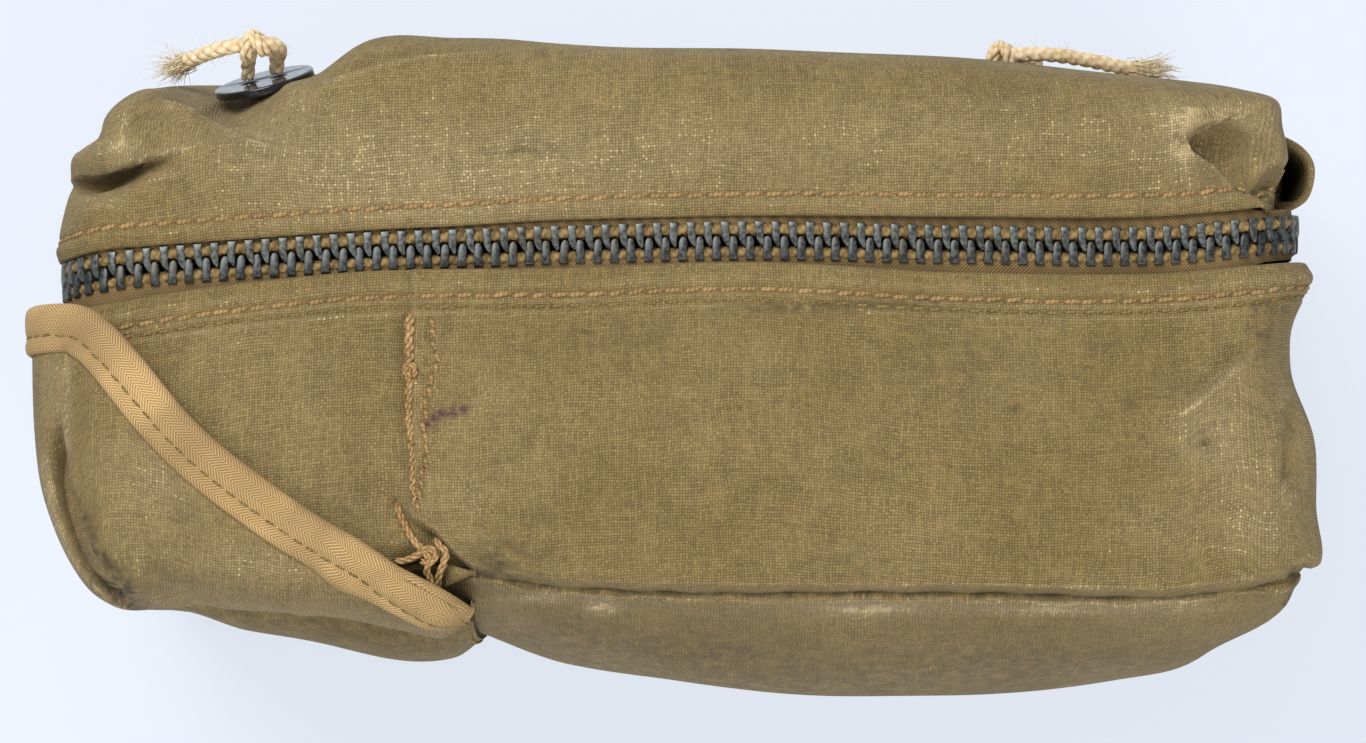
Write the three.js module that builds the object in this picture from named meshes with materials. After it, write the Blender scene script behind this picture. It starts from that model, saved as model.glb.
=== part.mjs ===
// First aid pouch: a zipped canvas case that stands on its spine with the zip on top.
// Millimetres, +Z up, X along the case, +Y towards the lid and -Y towards the front panel.
// Lengths across the case (y) are measured from the middle of the zip until the last lines.

import * as THREE from 'three';
import { mergeVertices } from 'three/addons/utils/BufferGeometryUtils.js';

// The case
const HALF_LENGTH = 113.5;
const HEIGHT = 138;
const CORNER_RADIUS = 14;
const CANVAS = 1.5;
const GAP = 0.3;
const ZIP_BEHIND_ORIGIN = 22;
const SEAM_SINK = 6.5;
const LID_FACE_INSET = 9;
const LID_FULL_DEPTH = 33;
const LID_SWELL = 2.5;

// The zip
const TAPE = 0.8;
const TAPE_WIDTH = 3.4;
const ZIP_INSET = 3.3;
const ZIP_FOOT = 44;
const TAPE_FOOT = 20;
const SPINE_SEAM_TOP = 16;
const TOOTH_PITCH = 3.05;
const TOOTH_WIDTH = 1.16;
const TOOTH_THICKNESS = 2.6;
const TOOTH_REACH = 0.8;
const CORD_INNER = 2.5;
const CORD_OUTER = 3.5;
const SLIDER_HEIGHT = 12;
const SLIDER_WIDTH = 7;
const SLIDER_THICKNESS = 5;
const PULL_LENGTH = 22;
const PULL_THICKNESS = 1.4;
const PULL_STAND = 0.9;

// The end pocket and its binding
const POCKET_SEAM_X = -38;
const POCKET_CORNER_X = -101.5;
const POCKET_FLOOR = 6;
const POCKET_END_FLOOR = 20;
const POCKET_SHOULDER_Z = 121;
const POCKET_SEWN = 2.8;
const POCKET_SLACK = 9.5;
const POCKET_MOUTH_STAND = 3.7;
// How square the pocket turns from the left end to the top: 1 is round, less is squarer.
const END_SQUARENESS = 0.5;
const BINDING_DEPTH = 7.5;
const BINDING_TAPE = 0.7;
const BINDING_CLEAR = 0.92;
const BINDING_TIP_SHARE = 0.36;
const BINDING_TIP_LINES = 4;
const BINDING_STEPS = [1, 0.65, 0.3, 0];

// The ties on the lid face
const DISC_RADIUS = 9.3;
const DISC_THICKNESS = 1.6;
const DISC_HOLE_RADIUS = 1.6;
const DISC_HOLE_OFFSET = 2.7;
const LEFT_DISC_X = -75.4;
const LEFT_DISC_Z = 119;
const RIGHT_DISC_X = 66;
const RIGHT_DISC_Z = 72;
const TWINE_RADIUS = 1.5;

// Sections along the case: where each line that runs along it lies, seen from above.
const SECTIONS = [
  { x: -114, lidEdge: 17.0, lidHem: -2.4, zip: -8.0, bodyHem: -13.5, seam: -58.0, belly: -56.5 },
  { x: -104, lidEdge: 23.5, lidHem: -1.0, zip: -6.4, bodyHem: -12.2, seam: -61.0, belly: -57.5 },
  { x: -96, lidEdge: 28.5, lidHem: 0.2, zip: -5.1, bodyHem: -10.7, seam: -62.0, belly: -58.0 },
  { x: -84, lidEdge: 26.0, lidHem: 1.0, zip: -3.8, bodyHem: -8.7, seam: -62.0, belly: -59.5 },
  { x: -70, lidEdge: 28.5, lidHem: 1.9, zip: -2.5, bodyHem: -6.9, seam: -61.5, belly: -61.5 },
  { x: -56, lidEdge: 35.8, lidHem: 2.7, zip: -1.4, bodyHem: -5.8, seam: -60.5, belly: -65.0 },
  { x: -41, lidEdge: 36.5, lidHem: 3.5, zip: -0.5, bodyHem: -5.0, seam: -59.5, belly: -69.0 },
  { x: -21, lidEdge: 35.5, lidHem: 4.1, zip: 0.0, bodyHem: -4.5, seam: -62.0, belly: -76.0 },
  { x: 14, lidEdge: 34.8, lidHem: 4.5, zip: 0.0, bodyHem: -4.7, seam: -63.0, belly: -80.5 },
  { x: 48, lidEdge: 33.0, lidHem: 5.0, zip: -0.4, bodyHem: -5.4, seam: -63.0, belly: -81.5 },
  { x: 84, lidEdge: 29.6, lidHem: 5.5, zip: -0.5, bodyHem: -5.2, seam: -63.5, belly: -79.5 },
  { x: 103, lidEdge: 27.6, lidHem: 6.0, zip: 0.0, bodyHem: -4.6, seam: -62.0, belly: -77.0 },
  { x: 114, lidEdge: 25.5, lidHem: 6.3, zip: 0.4, bodyHem: -4.1, seam: -58.5, belly: -68.0 },
];

// The gusset from its hem (share 0) to the seam (share 1): how far it lies inside the case outline.
const GUSSET_PROFILE = [
  { share: 0.0, inset: 0.6, floor: 0.0 },
  { share: 0.1, inset: 0.0, floor: 0.0 },
  { share: 0.4, inset: -1.4, floor: 0.0 },
  { share: 0.75, inset: -1.2, floor: 0.0 },
  { share: 0.93, inset: 0.8, floor: 0.0 },
  { share: 1.0, inset: SEAM_SINK, floor: 4.0 },
];

// The lid from its hem (share 0) to where its face begins (share 1).
const LID_PROFILE = [
  { share: 0.0, inset: 0.6, floor: 0.0 },
  { share: 0.14, inset: 0.0, floor: 0.0 },
  { share: 0.5, inset: -0.8, floor: 0.0 },
  { share: 0.78, inset: 0.4, floor: 0.0 },
  { share: 0.93, inset: 3.4, floor: 1.5 },
  { share: 1.0, inset: LID_FACE_INSET, floor: 6.0 },
];

// Rings of the two big faces, from their edge towards the middle.
const FRONT_INSETS = [10, 18, 32, 52];
const LID_INSETS = [20, 46];

// Dents and bulges: each pushes the cloth round a point, less the further it is from there.
const BODY_DENTS = [
  { x: -55, y: -40, z: 138, reachX: 7, reachY: 20, reachZ: 12, pushX: 0, pushY: 0, pushZ: -3.5 },
  { x: -47, y: -60, z: 134, reachX: 8, reachY: 6, reachZ: 9, pushX: 0, pushY: 2, pushZ: -4.0 },
  { x: 114, y: -23, z: 122, reachX: 12, reachY: 8.5, reachZ: 26, pushX: -5, pushY: 0, pushZ: -2.0 },
  { x: -114, y: -62, z: 70, reachX: 9, reachY: 12, reachZ: 140, pushX: 7, pushY: 0, pushZ: 0 },
  { x: -114, y: -34, z: 70, reachX: 12, reachY: 14, reachZ: 140, pushX: 3.4, pushY: 0, pushZ: 0 },
  { x: 20, y: -36, z: 138, reachX: 55, reachY: 18, reachZ: 14, pushX: 0, pushY: 0, pushZ: 1.6 },
  { x: 108, y: -66, z: 120, reachX: 9, reachY: 6, reachZ: 34, pushX: 4.5, pushY: 0, pushZ: 0 },
];
const LID_DENTS = [
  { x: -78, y: 26, z: 134, reachX: 15, reachY: 9, reachZ: 14, pushX: 0, pushY: -2, pushZ: -5.0 },
  { x: -106, y: 12, z: 134, reachX: 9, reachY: 4.5, reachZ: 12, pushX: 2.5, pushY: 0, pushZ: -4.0 },
  { x: -115, y: 17, z: 108, reachX: 9, reachY: 7.5, reachZ: 34, pushX: 4.5, pushY: 0, pushZ: 0 },
  { x: 100, y: 16, z: 136, reachX: 9, reachY: 5, reachZ: 14, pushX: -2, pushY: 0, pushZ: -6.0 },
  { x: 114, y: 20, z: 120, reachX: 9, reachY: 8, reachZ: 20, pushX: -5, pushY: 0, pushZ: 0 },
];

// The pocket mouth on top of the case, from its tip at the front seam to the left end.
const MOUTH = [
  { share: 0.0, x: -39, y: -63.6, stand: 3.7 },
  { share: 0.14, x: -51, y: -59.4, stand: 3.7 },
  { share: 0.36, x: -69, y: -49.5, stand: 4.0 },
  { share: 0.6, x: -86, y: -35.5, stand: 5.0 },
  { share: 0.85, x: -99, y: -20.5, stand: 6.2 },
  { share: 1.0, x: -107, y: -16.0, stand: 4.8 },
];

// The pocket over the left end, seen from above: from the front corner to the mouth beside the zip.
const END_PATH = [
  { x: -101.5, y: -66.5 },
  { x: -107.0, y: -62.6 },
  { x: -111.3, y: -55.5 },
  { x: -114.8, y: -46.0 },
  { x: -115.8, y: -37.0 },
  { x: -116.4, y: -27.5 },
  { x: -116.6, y: -18.0 },
];

// Steps round each ring of the case, along the pocket and along the zip.
const RING_STEPS = { side: 16, corner: 4, end: 5 };
const POCKET_COLUMNS = 10;
const POCKET_WALL_Z = [POCKET_FLOOR, 28, 54, 80, 104, POCKET_SHOULDER_Z];
const POCKET_ARC_STEPS = 5;
const POCKET_TOP_STEPS = END_PATH.length - 1;
const ZIP_STEPS = { end: 3, corner: 5, top: 16 };

const colours = {
  canvas: 0x8f7c54,
  tape: 0x7a6242,
  teeth: 0x4c4a46,
  binding: 0xba9b69,
  disc: 0x15171c,
  twine: 0xe3c99c,
};

const group = new THREE.Group();

function addPiece(name, geometry, colour) {
  const material = new THREE.MeshStandardMaterial({ color: colour, roughness: 0.8 });
  const mesh = new THREE.Mesh(geometry, material);
  mesh.name = name;
  group.add(mesh);
}

function mix(from, to, share) {
  return from + (to - from) * share;
}

function clamp(value, low, high) {
  return Math.min(high, Math.max(low, value));
}

function smooth(low, high, value) {
  const share = clamp((value - low) / (high - low), 0, 1);
  return share * share * (3 - 2 * share);
}

// Reads one column of a table as a smooth curve through its rows.
function read(rows, key, at, column) {
  const last = rows.length - 1;
  const value = clamp(at, rows[0][key], rows[last][key]);
  let i = 0;
  while (i < last - 1 && value > rows[i + 1][key]) i += 1;
  const span = rows[i + 1][key] - rows[i][key];
  const share = (value - rows[i][key]) / span;
  const slope = (from, to) => (rows[to][column] - rows[from][column]) / (rows[to][key] - rows[from][key]);
  const here = slope(Math.max(i - 1, 0), i + 1) * span;
  const there = slope(i, Math.min(i + 2, last)) * span;
  const from = rows[i][column];
  const to = rows[i + 1][column];
  const bend = 3 * (to - from) - 2 * here - there;
  const twist = here + there - 2 * (to - from);
  return from + share * (here + share * (bend + share * twist));
}

function section(x, column) {
  return read(SECTIONS, 'x', x, column);
}

function push(point, dents) {
  const moved = point.clone();
  for (const dent of dents) {
    const dx = (point.x - dent.x) / dent.reachX;
    const dy = (point.y - dent.y) / dent.reachY;
    const dz = (point.z - dent.z) / dent.reachZ;
    const amount = Math.exp(-(dx * dx + dy * dy + dz * dz));
    moved.x += dent.pushX * amount;
    moved.y += dent.pushY * amount;
    moved.z += dent.pushZ * amount;
  }
  return moved;
}

// Points round a rounded rectangle in the plane of the big faces, clockwise from the top left.
function ring(inset, floor) {
  const length = HALF_LENGTH - inset;
  const top = HEIGHT - inset;
  const radius = clamp(CORNER_RADIUS - 0.5 * inset, 3, CORNER_RADIUS + 2);
  const points = [];
  const line = (fromX, fromZ, toX, toZ, steps) => {
    for (let i = 0; i < steps; i += 1) {
      points.push({ x: mix(fromX, toX, i / steps), z: mix(fromZ, toZ, i / steps) });
    }
  };
  const arc = (x, z, startTurn) => {
    for (let i = 0; i < RING_STEPS.corner; i += 1) {
      const angle = (startTurn - i / RING_STEPS.corner) * Math.PI / 2;
      points.push({ x: x + radius * Math.cos(angle), z: z + radius * Math.sin(angle) });
    }
  };
  const side = length - radius;
  line(-side, top, side, top, RING_STEPS.side);
  arc(side, top - radius, 1);
  line(length, top - radius, length, floor + radius, RING_STEPS.end);
  arc(side, floor + radius, 0);
  line(side, floor, -side, floor, RING_STEPS.side);
  arc(-side, floor + radius, -1);
  line(-length, floor + radius, -length, top - radius, RING_STEPS.end);
  arc(-side, top - radius, -2);
  return points;
}

// A hem follows the zip along the top and ends and closes on the spine seam at the bottom.
function hemY(x, z, column, atSpine) {
  return mix(atSpine, section(x, column), smooth(SPINE_SEAM_TOP, ZIP_FOOT - 4, z));
}

// How far a big face has swollen at a point: nothing along its edge, fully in its middle.
function swell(x, z, edge) {
  const along = Math.min(Math.abs(x) / (HALF_LENGTH - edge), 1);
  const middle = HEIGHT / 2;
  const upward = Math.min(Math.abs(z - middle) / (middle - edge), 1);
  return (1 - Math.pow(along, 16)) * (1 - Math.pow(upward, 2.6));
}

function frontY(x, z) {
  return mix(section(x, 'seam'), section(x, 'belly'), swell(x, z, SEAM_SINK));
}

// The lid is full at half height and slopes down to its top corners.
function lidEdgeY(x, z) {
  const full = Math.min(LID_FULL_DEPTH, section(x, 'lidEdge') + 8);
  return mix(full, section(x, 'lidEdge'), smooth(HEIGHT - 75, HEIGHT - 12, z));
}

function lidFaceY(x, z) {
  return lidEdgeY(x, z) + LID_SWELL * swell(x, z, LID_FACE_INSET);
}

function gussetRing(row) {
  return ring(row.inset, row.floor).map(({ x, z }) => {
    const hem = hemY(x, z, 'bodyHem', -GAP / 2);
    const y = mix(hem, section(x, 'seam'), row.share);
    return settle(push(new THREE.Vector3(x, y, z), BODY_DENTS));
  });
}

function frontRing(inset) {
  const floor = Math.max(inset - 2.5, 4);
  return ring(inset, floor).map(({ x, z }) => (
    push(new THREE.Vector3(x, frontY(x, z), z), BODY_DENTS)
  ));
}

function lidRing(row) {
  return ring(row.inset, row.floor).map(({ x, z }) => {
    const hem = hemY(x, z, 'lidHem', GAP / 2);
    const y = mix(hem, lidEdgeY(x, z), row.share);
    return settle(push(new THREE.Vector3(x, y, z), LID_DENTS));
  });
}

function lidFaceRing(inset) {
  const floor = Math.max(inset - 2.5, 4);
  return ring(inset, floor).map(({ x, z }) => (
    push(new THREE.Vector3(x, lidFaceY(x, z), z), LID_DENTS)
  ));
}

// Cloth near the floor lies flat on it.
function settle(point) {
  if (point.z < 0.4) point.z = 0;
  return point;
}

// Grows a surface from grids of points, then gives it a wall towards its inside.
class Sheet {
  constructor() {
    this.points = [];
    this.triangles = [];
  }

  add(points) {
    const first = this.points.length;
    this.points.push(...points);
    return points.map((_, i) => first + i);
  }

  quad(a, b, c, d) {
    this.triangles.push([a, b, c], [a, c, d]);
  }

  // Joins two rows of equal length; a closed row ends where it starts.
  join(rowA, rowB, closed) {
    const count = rowA.length;
    const steps = closed ? count : count - 1;
    for (let i = 0; i < steps; i += 1) {
      const next = (i + 1) % count;
      this.quad(rowA[i], rowA[next], rowB[next], rowB[i]);
    }
  }

  // Closes the innermost ring of a face: its long sides to each other, then its two ends.
  close(row) {
    const side = RING_STEPS.side;
    const right = side + 2 * RING_STEPS.corner + RING_STEPS.end;
    const left = right + side;
    for (let i = 0; i < side; i += 1) this.quad(row[i], row[left - i], row[left - i - 1], row[i + 1]);
    for (let i = side + 1; i < right; i += 1) this.triangles.push([row[side], row[i + 1], row[i]]);
    for (let i = left + 1; i < row.length; i += 1) {
      this.triangles.push([row[left], row[(i + 1) % row.length], row[i]]);
    }
  }

  normals() {
    const sums = this.points.map(() => new THREE.Vector3());
    for (const [a, b, c] of this.triangles) {
      const edge = this.points[b].clone().sub(this.points[a]);
      const other = this.points[c].clone().sub(this.points[a]);
      const normal = edge.cross(other).normalize();
      for (const index of [a, b, c]) sums[index].add(normal);
    }
    return sums.map((sum) => sum.normalize());
  }

  // The closed solid between this surface and the same surface one wall further in.
  solid(wall, normals = this.normals()) {
    const count = this.points.length;
    const inner = this.points.map((point, i) => settleInside(point, normals[i], wall));
    const faces = [];
    const edges = new Map();
    for (const [a, b, c] of this.triangles) {
      faces.push([a, b, c], [a + count, c + count, b + count]);
      for (const [from, to] of [[a, b], [b, c], [c, a]]) edges.set(`${from},${to}`, [from, to]);
    }
    for (const [from, to] of edges.values()) {
      if (!edges.has(`${to},${from}`)) {
        faces.push([from, from + count, to + count], [from, to + count, to]);
      }
    }
    return solidFrom([...this.points, ...inner], faces);
  }
}

// The inner side of the spine lies one wall above the floor.
function settleInside(point, normal, wall) {
  const inner = point.clone().addScaledVector(normal, -wall);
  if (point.z === 0) inner.z = wall;
  return inner;
}

function solidFrom(points, faces) {
  const geometry = new THREE.BufferGeometry();
  const positions = points.flatMap((point) => [point.x, point.y, point.z]);
  geometry.setAttribute('position', new THREE.Float32BufferAttribute(positions, 3));
  geometry.setIndex(faces.flat());
  const merged = mergeVertices(geometry, 1e-4);
  merged.computeVertexNormals();
  return merged;
}

// A hem edge is cut square to the zip.
function squareHem(normals, row) {
  for (const index of row) normals[index].setY(0).normalize();
}

function flipped(sheet) {
  sheet.triangles = sheet.triangles.map(([a, b, c]) => [a, c, b]);
  return sheet;
}

// The body: a gusset band and a bulging front panel, with their seam mitred
function buildBody() {
  const whole = new Sheet();
  const bandRows = GUSSET_PROFILE.map((row) => whole.add(gussetRing(row)));
  const seamRow = bandRows[bandRows.length - 1];
  const firstInset = FRONT_INSETS[0];
  const outward = frontRing(firstInset);
  const start = seamRow.map((index, i) => {
    const along = outward[i].clone().sub(whole.points[index]).normalize();
    return whole.points[index].clone().addScaledVector(along, GAP);
  });
  const frontRows = [whole.add(start), ...FRONT_INSETS.map((inset) => whole.add(frontRing(inset)))];
  const rows = [...bandRows, ...frontRows];
  rows.slice(1).forEach((row, i) => whole.join(row, rows[i], true));
  whole.close(frontRows[frontRows.length - 1]);
  const normals = whole.normals();
  seamRow.forEach((index, i) => {
    const shared = normals[index].clone().add(normals[frontRows[0][i]]).normalize();
    normals[index] = shared;
    normals[frontRows[0][i]] = shared.clone();
  });

  squareHem(normals, bandRows[0]);

  const bandCount = bandRows.length * seamRow.length;
  const band = new Sheet();
  const front = new Sheet();
  band.points = whole.points.slice(0, bandCount);
  front.points = whole.points.slice(bandCount);
  for (const triangle of whole.triangles) {
    const inBand = triangle.filter((index) => index < bandCount).length;
    if (inBand === 3) band.triangles.push(triangle);
    if (inBand === 0) front.triangles.push(triangle.map((index) => index - bandCount));
  }
  addPiece('body_gusset', band.solid(CANVAS, normals.slice(0, bandCount)), colours.canvas);
  addPiece('body_front', front.solid(CANVAS, normals.slice(bandCount)), colours.canvas);
}

function buildLid() {
  const lid = new Sheet();
  const rows = [
    ...LID_PROFILE.map((row) => lid.add(lidRing(row))),
    ...LID_INSETS.map((inset) => lid.add(lidFaceRing(inset))),
  ];
  rows.slice(1).forEach((row, i) => lid.join(row, rows[i], true));
  lid.close(rows[rows.length - 1]);
  flipped(lid);
  const normals = lid.normals();
  squareHem(normals, rows[0]);
  addPiece('lid_cover', lid.solid(CANVAS, normals), colours.canvas);
}

// The zip runs up the left end, along the top and down the right end.
function zipPath(inset, leftFoot, rightFoot) {
  const length = HALF_LENGTH - inset;
  const top = HEIGHT - inset;
  const radius = CORNER_RADIUS - inset;
  const side = length - radius;
  const shoulder = top - radius;
  const turn = radius * Math.PI / 2;
  const legs = [shoulder - leftFoot, turn, 2 * side, turn, shoulder - rightFoot];
  const total = legs.reduce((sum, leg) => sum + leg, 0);
  const at = (distance) => {
    let rest = distance;
    if (rest < legs[0]) return { x: -length, z: leftFoot + rest, outX: -1, outZ: 0 };
    rest -= legs[0];
    if (rest < legs[1]) return onArc(-side, Math.PI - rest / radius);
    rest -= legs[1];
    if (rest < legs[2]) return { x: -side + rest, z: top, outX: 0, outZ: 1 };
    rest -= legs[2];
    if (rest < legs[3]) return onArc(side, Math.PI / 2 - rest / radius);
    rest -= legs[3];
    return { x: length, z: shoulder - rest, outX: 1, outZ: 0 };
  };
  const onArc = (x, angle) => {
    const outX = Math.cos(angle);
    const outZ = Math.sin(angle);
    return { x: x + radius * outX, z: shoulder + radius * outZ, outX, outZ };
  };
  const stops = [0];
  const counts = [ZIP_STEPS.end, ZIP_STEPS.corner, ZIP_STEPS.top, ZIP_STEPS.corner, ZIP_STEPS.end];
  counts.forEach((count, leg) => {
    const from = stops[stops.length - 1];
    for (let i = 1; i <= count; i += 1) stops.push(from + legs[leg] * i / count);
  });
  return { at, total, stops };
}

// A point beside the zip line: across it towards the lid (side +1) or front (side -1), and out of the case.
function besideZip(place, side, across, out) {
  const y = section(place.x, 'zip') + side * across;
  return new THREE.Vector3(place.x + place.outX * out, y, place.z + place.outZ * out);
}

// A tape runs beside its teeth; below their foot it reaches in to the zip line and closes the end.
function buildZipTape(name, side) {
  const path = zipPath(ZIP_INSET, TAPE_FOOT, TAPE_FOOT);
  const beside = ZIP_FOOT - TAPE_FOOT - 2 * GAP;
  const closing = beside - GAP;
  const below = [0, closing];
  const stops = [
    ...below,
    beside,
    ...path.stops.filter((stop) => stop > beside && stop < path.total - beside),
    path.total - beside,
    ...below.map((stop) => path.total - stop).reverse(),
  ];
  const tape = new Sheet();
  const rows = stops.map((stop) => {
    const place = path.at(Math.min(stop, path.total - 1e-6));
    const isBelow = Math.min(stop, path.total - stop) <= closing;
    const inner = isBelow ? GAP / 2 : CORD_OUTER + GAP;
    const edges = [inner, CORD_OUTER + GAP + TAPE_WIDTH];
    return tape.add(edges.map((across) => besideZip(place, side, across, TAPE / 2)));
  });
  rows.slice(1).forEach((row, i) => tape.join(row, rows[i], false));
  if (side < 0) flipped(tape);
  addPiece(name, tape.solid(TAPE), colours.tape);
}

// One row of teeth with its edge cord, built tooth by tooth as a single comb
function buildZipTeeth(name, side, phase) {
  const rightFoot = ZIP_FOOT + SLIDER_HEIGHT + GAP;
  const path = zipPath(ZIP_INSET, ZIP_FOOT, rightFoot);
  const count = Math.floor((path.total - TOOTH_PITCH) / TOOTH_PITCH);
  const points = [];
  const faces = [];
  const layer = (distance, across) => {
    const place = path.at(clamp(distance, 0, path.total));
    for (const out of [TOOTH_THICKNESS / 2, -TOOTH_THICKNESS / 2]) {
      points.push(besideZip(place, side, across, out));
    }
    return points.length - 2;
  };
  const wall = (a, b) => faces.push([a, a + 1, b + 1], [a, b + 1, b]);
  const cap = (corners) => {
    for (let i = 1; i < corners.length - 1; i += 1) {
      faces.push([corners[0], corners[i], corners[i + 1]]);
      faces.push([corners[0] + 1, corners[i + 1] + 1, corners[i] + 1]);
    }
  };
  let outer = layer(0, CORD_OUTER);
  let inner = [layer(0, CORD_INNER)];
  wall(inner[0], outer);
  for (let i = 0; i < count; i += 1) {
    const middle = (i + 0.5 + phase) * TOOTH_PITCH;
    const footA = layer(middle - TOOTH_WIDTH / 2, CORD_INNER);
    const noseA = layer(middle - TOOTH_WIDTH / 2, -TOOTH_REACH);
    const noseB = layer(middle + TOOTH_WIDTH / 2, -TOOTH_REACH);
    const footB = layer(middle + TOOTH_WIDTH / 2, CORD_INNER);
    cap([footA, footB, noseB, noseA]);
    wall(footB, noseB);
    wall(noseB, noseA);
    wall(noseA, footA);
    wall(footA, inner[0]);
    inner.unshift(footB, footA);
    const isPairDone = i % 2 === 1;
    if (isPairDone) {
      const nextOuter = layer(middle, CORD_OUTER);
      cap([outer, nextOuter, ...inner]);
      wall(outer, nextOuter);
      outer = nextOuter;
      inner = [footB];
    }
  }
  const endOuter = layer(path.total, CORD_OUTER);
  const endInner = layer(path.total, CORD_INNER);
  cap([outer, endOuter, endInner, ...inner]);
  wall(outer, endOuter);
  wall(endInner, inner[0]);
  wall(endOuter, endInner);
  const turned = side > 0 ? faces.map(([a, b, c]) => [a, c, b]) : faces;
  addPiece(name, solidFrom(points, turned), colours.teeth);
}

// The slider and its pull, one plain piece at the foot of the right end
function buildSlider() {
  const middle = HALF_LENGTH - ZIP_INSET;
  const inside = middle - SLIDER_THICKNESS / 2;
  const outside = middle + SLIDER_THICKNESS / 2;
  const pullInside = outside + PULL_STAND;
  const pullOutside = pullInside + PULL_THICKNESS;
  const pullEnd = ZIP_FOOT + 2 - PULL_LENGTH;
  const outline = new THREE.Shape([
    new THREE.Vector2(inside, ZIP_FOOT),
    new THREE.Vector2(outside, ZIP_FOOT),
    new THREE.Vector2(outside, ZIP_FOOT + 5),
    new THREE.Vector2(pullInside, ZIP_FOOT + 3.5),
    new THREE.Vector2(pullInside, pullEnd),
    new THREE.Vector2(pullOutside, pullEnd),
    new THREE.Vector2(pullOutside, ZIP_FOOT + 7),
    new THREE.Vector2(outside, ZIP_FOOT + 10),
    new THREE.Vector2(outside - 1, ZIP_FOOT + SLIDER_HEIGHT),
    new THREE.Vector2(inside, ZIP_FOOT + SLIDER_HEIGHT),
  ]);
  const geometry = new THREE.ExtrudeGeometry(outline, { depth: SLIDER_WIDTH, bevelEnabled: false });
  geometry.rotateX(Math.PI / 2);
  geometry.translate(0, section(HALF_LENGTH, 'zip') + SLIDER_WIDTH / 2, 0);
  addPiece('zip_slider', geometry, colours.teeth);
}

function gussetInset(x, y) {
  const hem = section(x, 'bodyHem');
  const share = clamp((y - hem) / (section(x, 'seam') - hem), 0, 1);
  return read(GUSSET_PROFILE, 'share', share, 'inset');
}

// The top of the gusset over a point, and its left end beside a point
function gussetTopZ(x, y) {
  const inset = Math.min(gussetInset(x, y), 1);
  const overhang = Math.max(Math.abs(x) - (HALF_LENGTH - CORNER_RADIUS), 0);
  const drop = CORNER_RADIUS - Math.sqrt(CORNER_RADIUS ** 2 - Math.min(overhang, CORNER_RADIUS) ** 2);
  return HEIGHT - inset - drop;
}

function mouthPoint(share) {
  const x = read(MOUTH, 'share', share, 'x');
  const y = read(MOUTH, 'share', share, 'y');
  const stand = read(MOUTH, 'share', share, 'stand');
  return new THREE.Vector3(x, y, gussetTopZ(x, y) + stand);
}

// How far the pocket wall stands off the front panel: sewn tight at its edges, loose between.
function pocketStand(share, z) {
  const alongWall = 1 - Math.pow(Math.abs(2 * share - 1), 4);
  const height = clamp((z - POCKET_FLOOR) / (HEIGHT - POCKET_FLOOR), 0, 1);
  const upWall = Math.pow(Math.sin(Math.PI * height), 1.5);
  const shoulder = 1.2 * smooth(0.05, 0.3, share) * smooth(80, POCKET_SHOULDER_Z, z);
  return POCKET_SEWN + POCKET_SLACK * alongWall * upWall + shoulder;
}

// One column of the pocket wall at a share of the way from the front seam to the corner
function pocketColumn(share) {
  const x = mix(POCKET_SEAM_X, POCKET_CORNER_X, share);
  const wall = POCKET_WALL_Z.map((z) => {
    const loose = frontY(x, z) - pocketStand(share, z);
    return new THREE.Vector3(x, mix(loose, END_PATH[0].y, smooth(0.7, 1, share)), z);
  });
  const shoulder = wall[wall.length - 1];
  const mouth = mouthPoint(share);
  const reach = Math.min(9, 0.75 * (mouth.y - shoulder.y));
  const footX = mix(x, mouth.x, 0.15);
  const footY = shoulder.y + reach;
  const footZ = gussetTopZ(footX, footY) + POCKET_MOUTH_STAND;
  const column = [...wall];
  for (let i = 1; i <= POCKET_ARC_STEPS; i += 1) {
    const angle = i / POCKET_ARC_STEPS * Math.PI / 2;
    column.push(new THREE.Vector3(
      mix(x, footX, i / POCKET_ARC_STEPS),
      shoulder.y + reach * (1 - Math.cos(angle)),
      shoulder.z + (footZ - shoulder.z) * Math.sin(angle),
    ));
  }
  for (let i = 1; i <= POCKET_TOP_STEPS; i += 1) {
    const along = i / POCKET_TOP_STEPS;
    const px = mix(footX, mouth.x, along);
    const py = mix(footY, mouth.y, along);
    const stand = mix(POCKET_MOUTH_STAND, mouth.z - gussetTopZ(mouth.x, mouth.y), along);
    column.push(new THREE.Vector3(px, py, gussetTopZ(px, py) + stand));
  }
  return column;
}

// The pocket part over the left end: columns from the corner to the mouth edge beside the zip
function pocketEnd(crease) {
  return crease.map((top, k) => {
    const share = k / (crease.length - 1);
    const { x, y } = END_PATH[k];
    const floor = mix(POCKET_FLOOR, POCKET_END_FLOOR, smooth(0, 0.4, share));
    const column = POCKET_WALL_Z.map((z) => {
      const height = (z - POCKET_FLOOR) / (POCKET_SHOULDER_Z - POCKET_FLOOR);
      return new THREE.Vector3(x, y, mix(floor, POCKET_SHOULDER_Z, height));
    });
    for (let i = 1; i < POCKET_ARC_STEPS; i += 1) {
      const angle = i / POCKET_ARC_STEPS * Math.PI / 2;
      column.push(new THREE.Vector3(
        mix(x, top.x, 1 - Math.cos(angle)),
        mix(y, top.y, 1 - Math.cos(angle)),
        mix(POCKET_SHOULDER_Z, top.z, Math.pow(Math.sin(angle), END_SQUARENESS)),
      ));
    }
    column.push(top);
    return column;
  });
}

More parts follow.
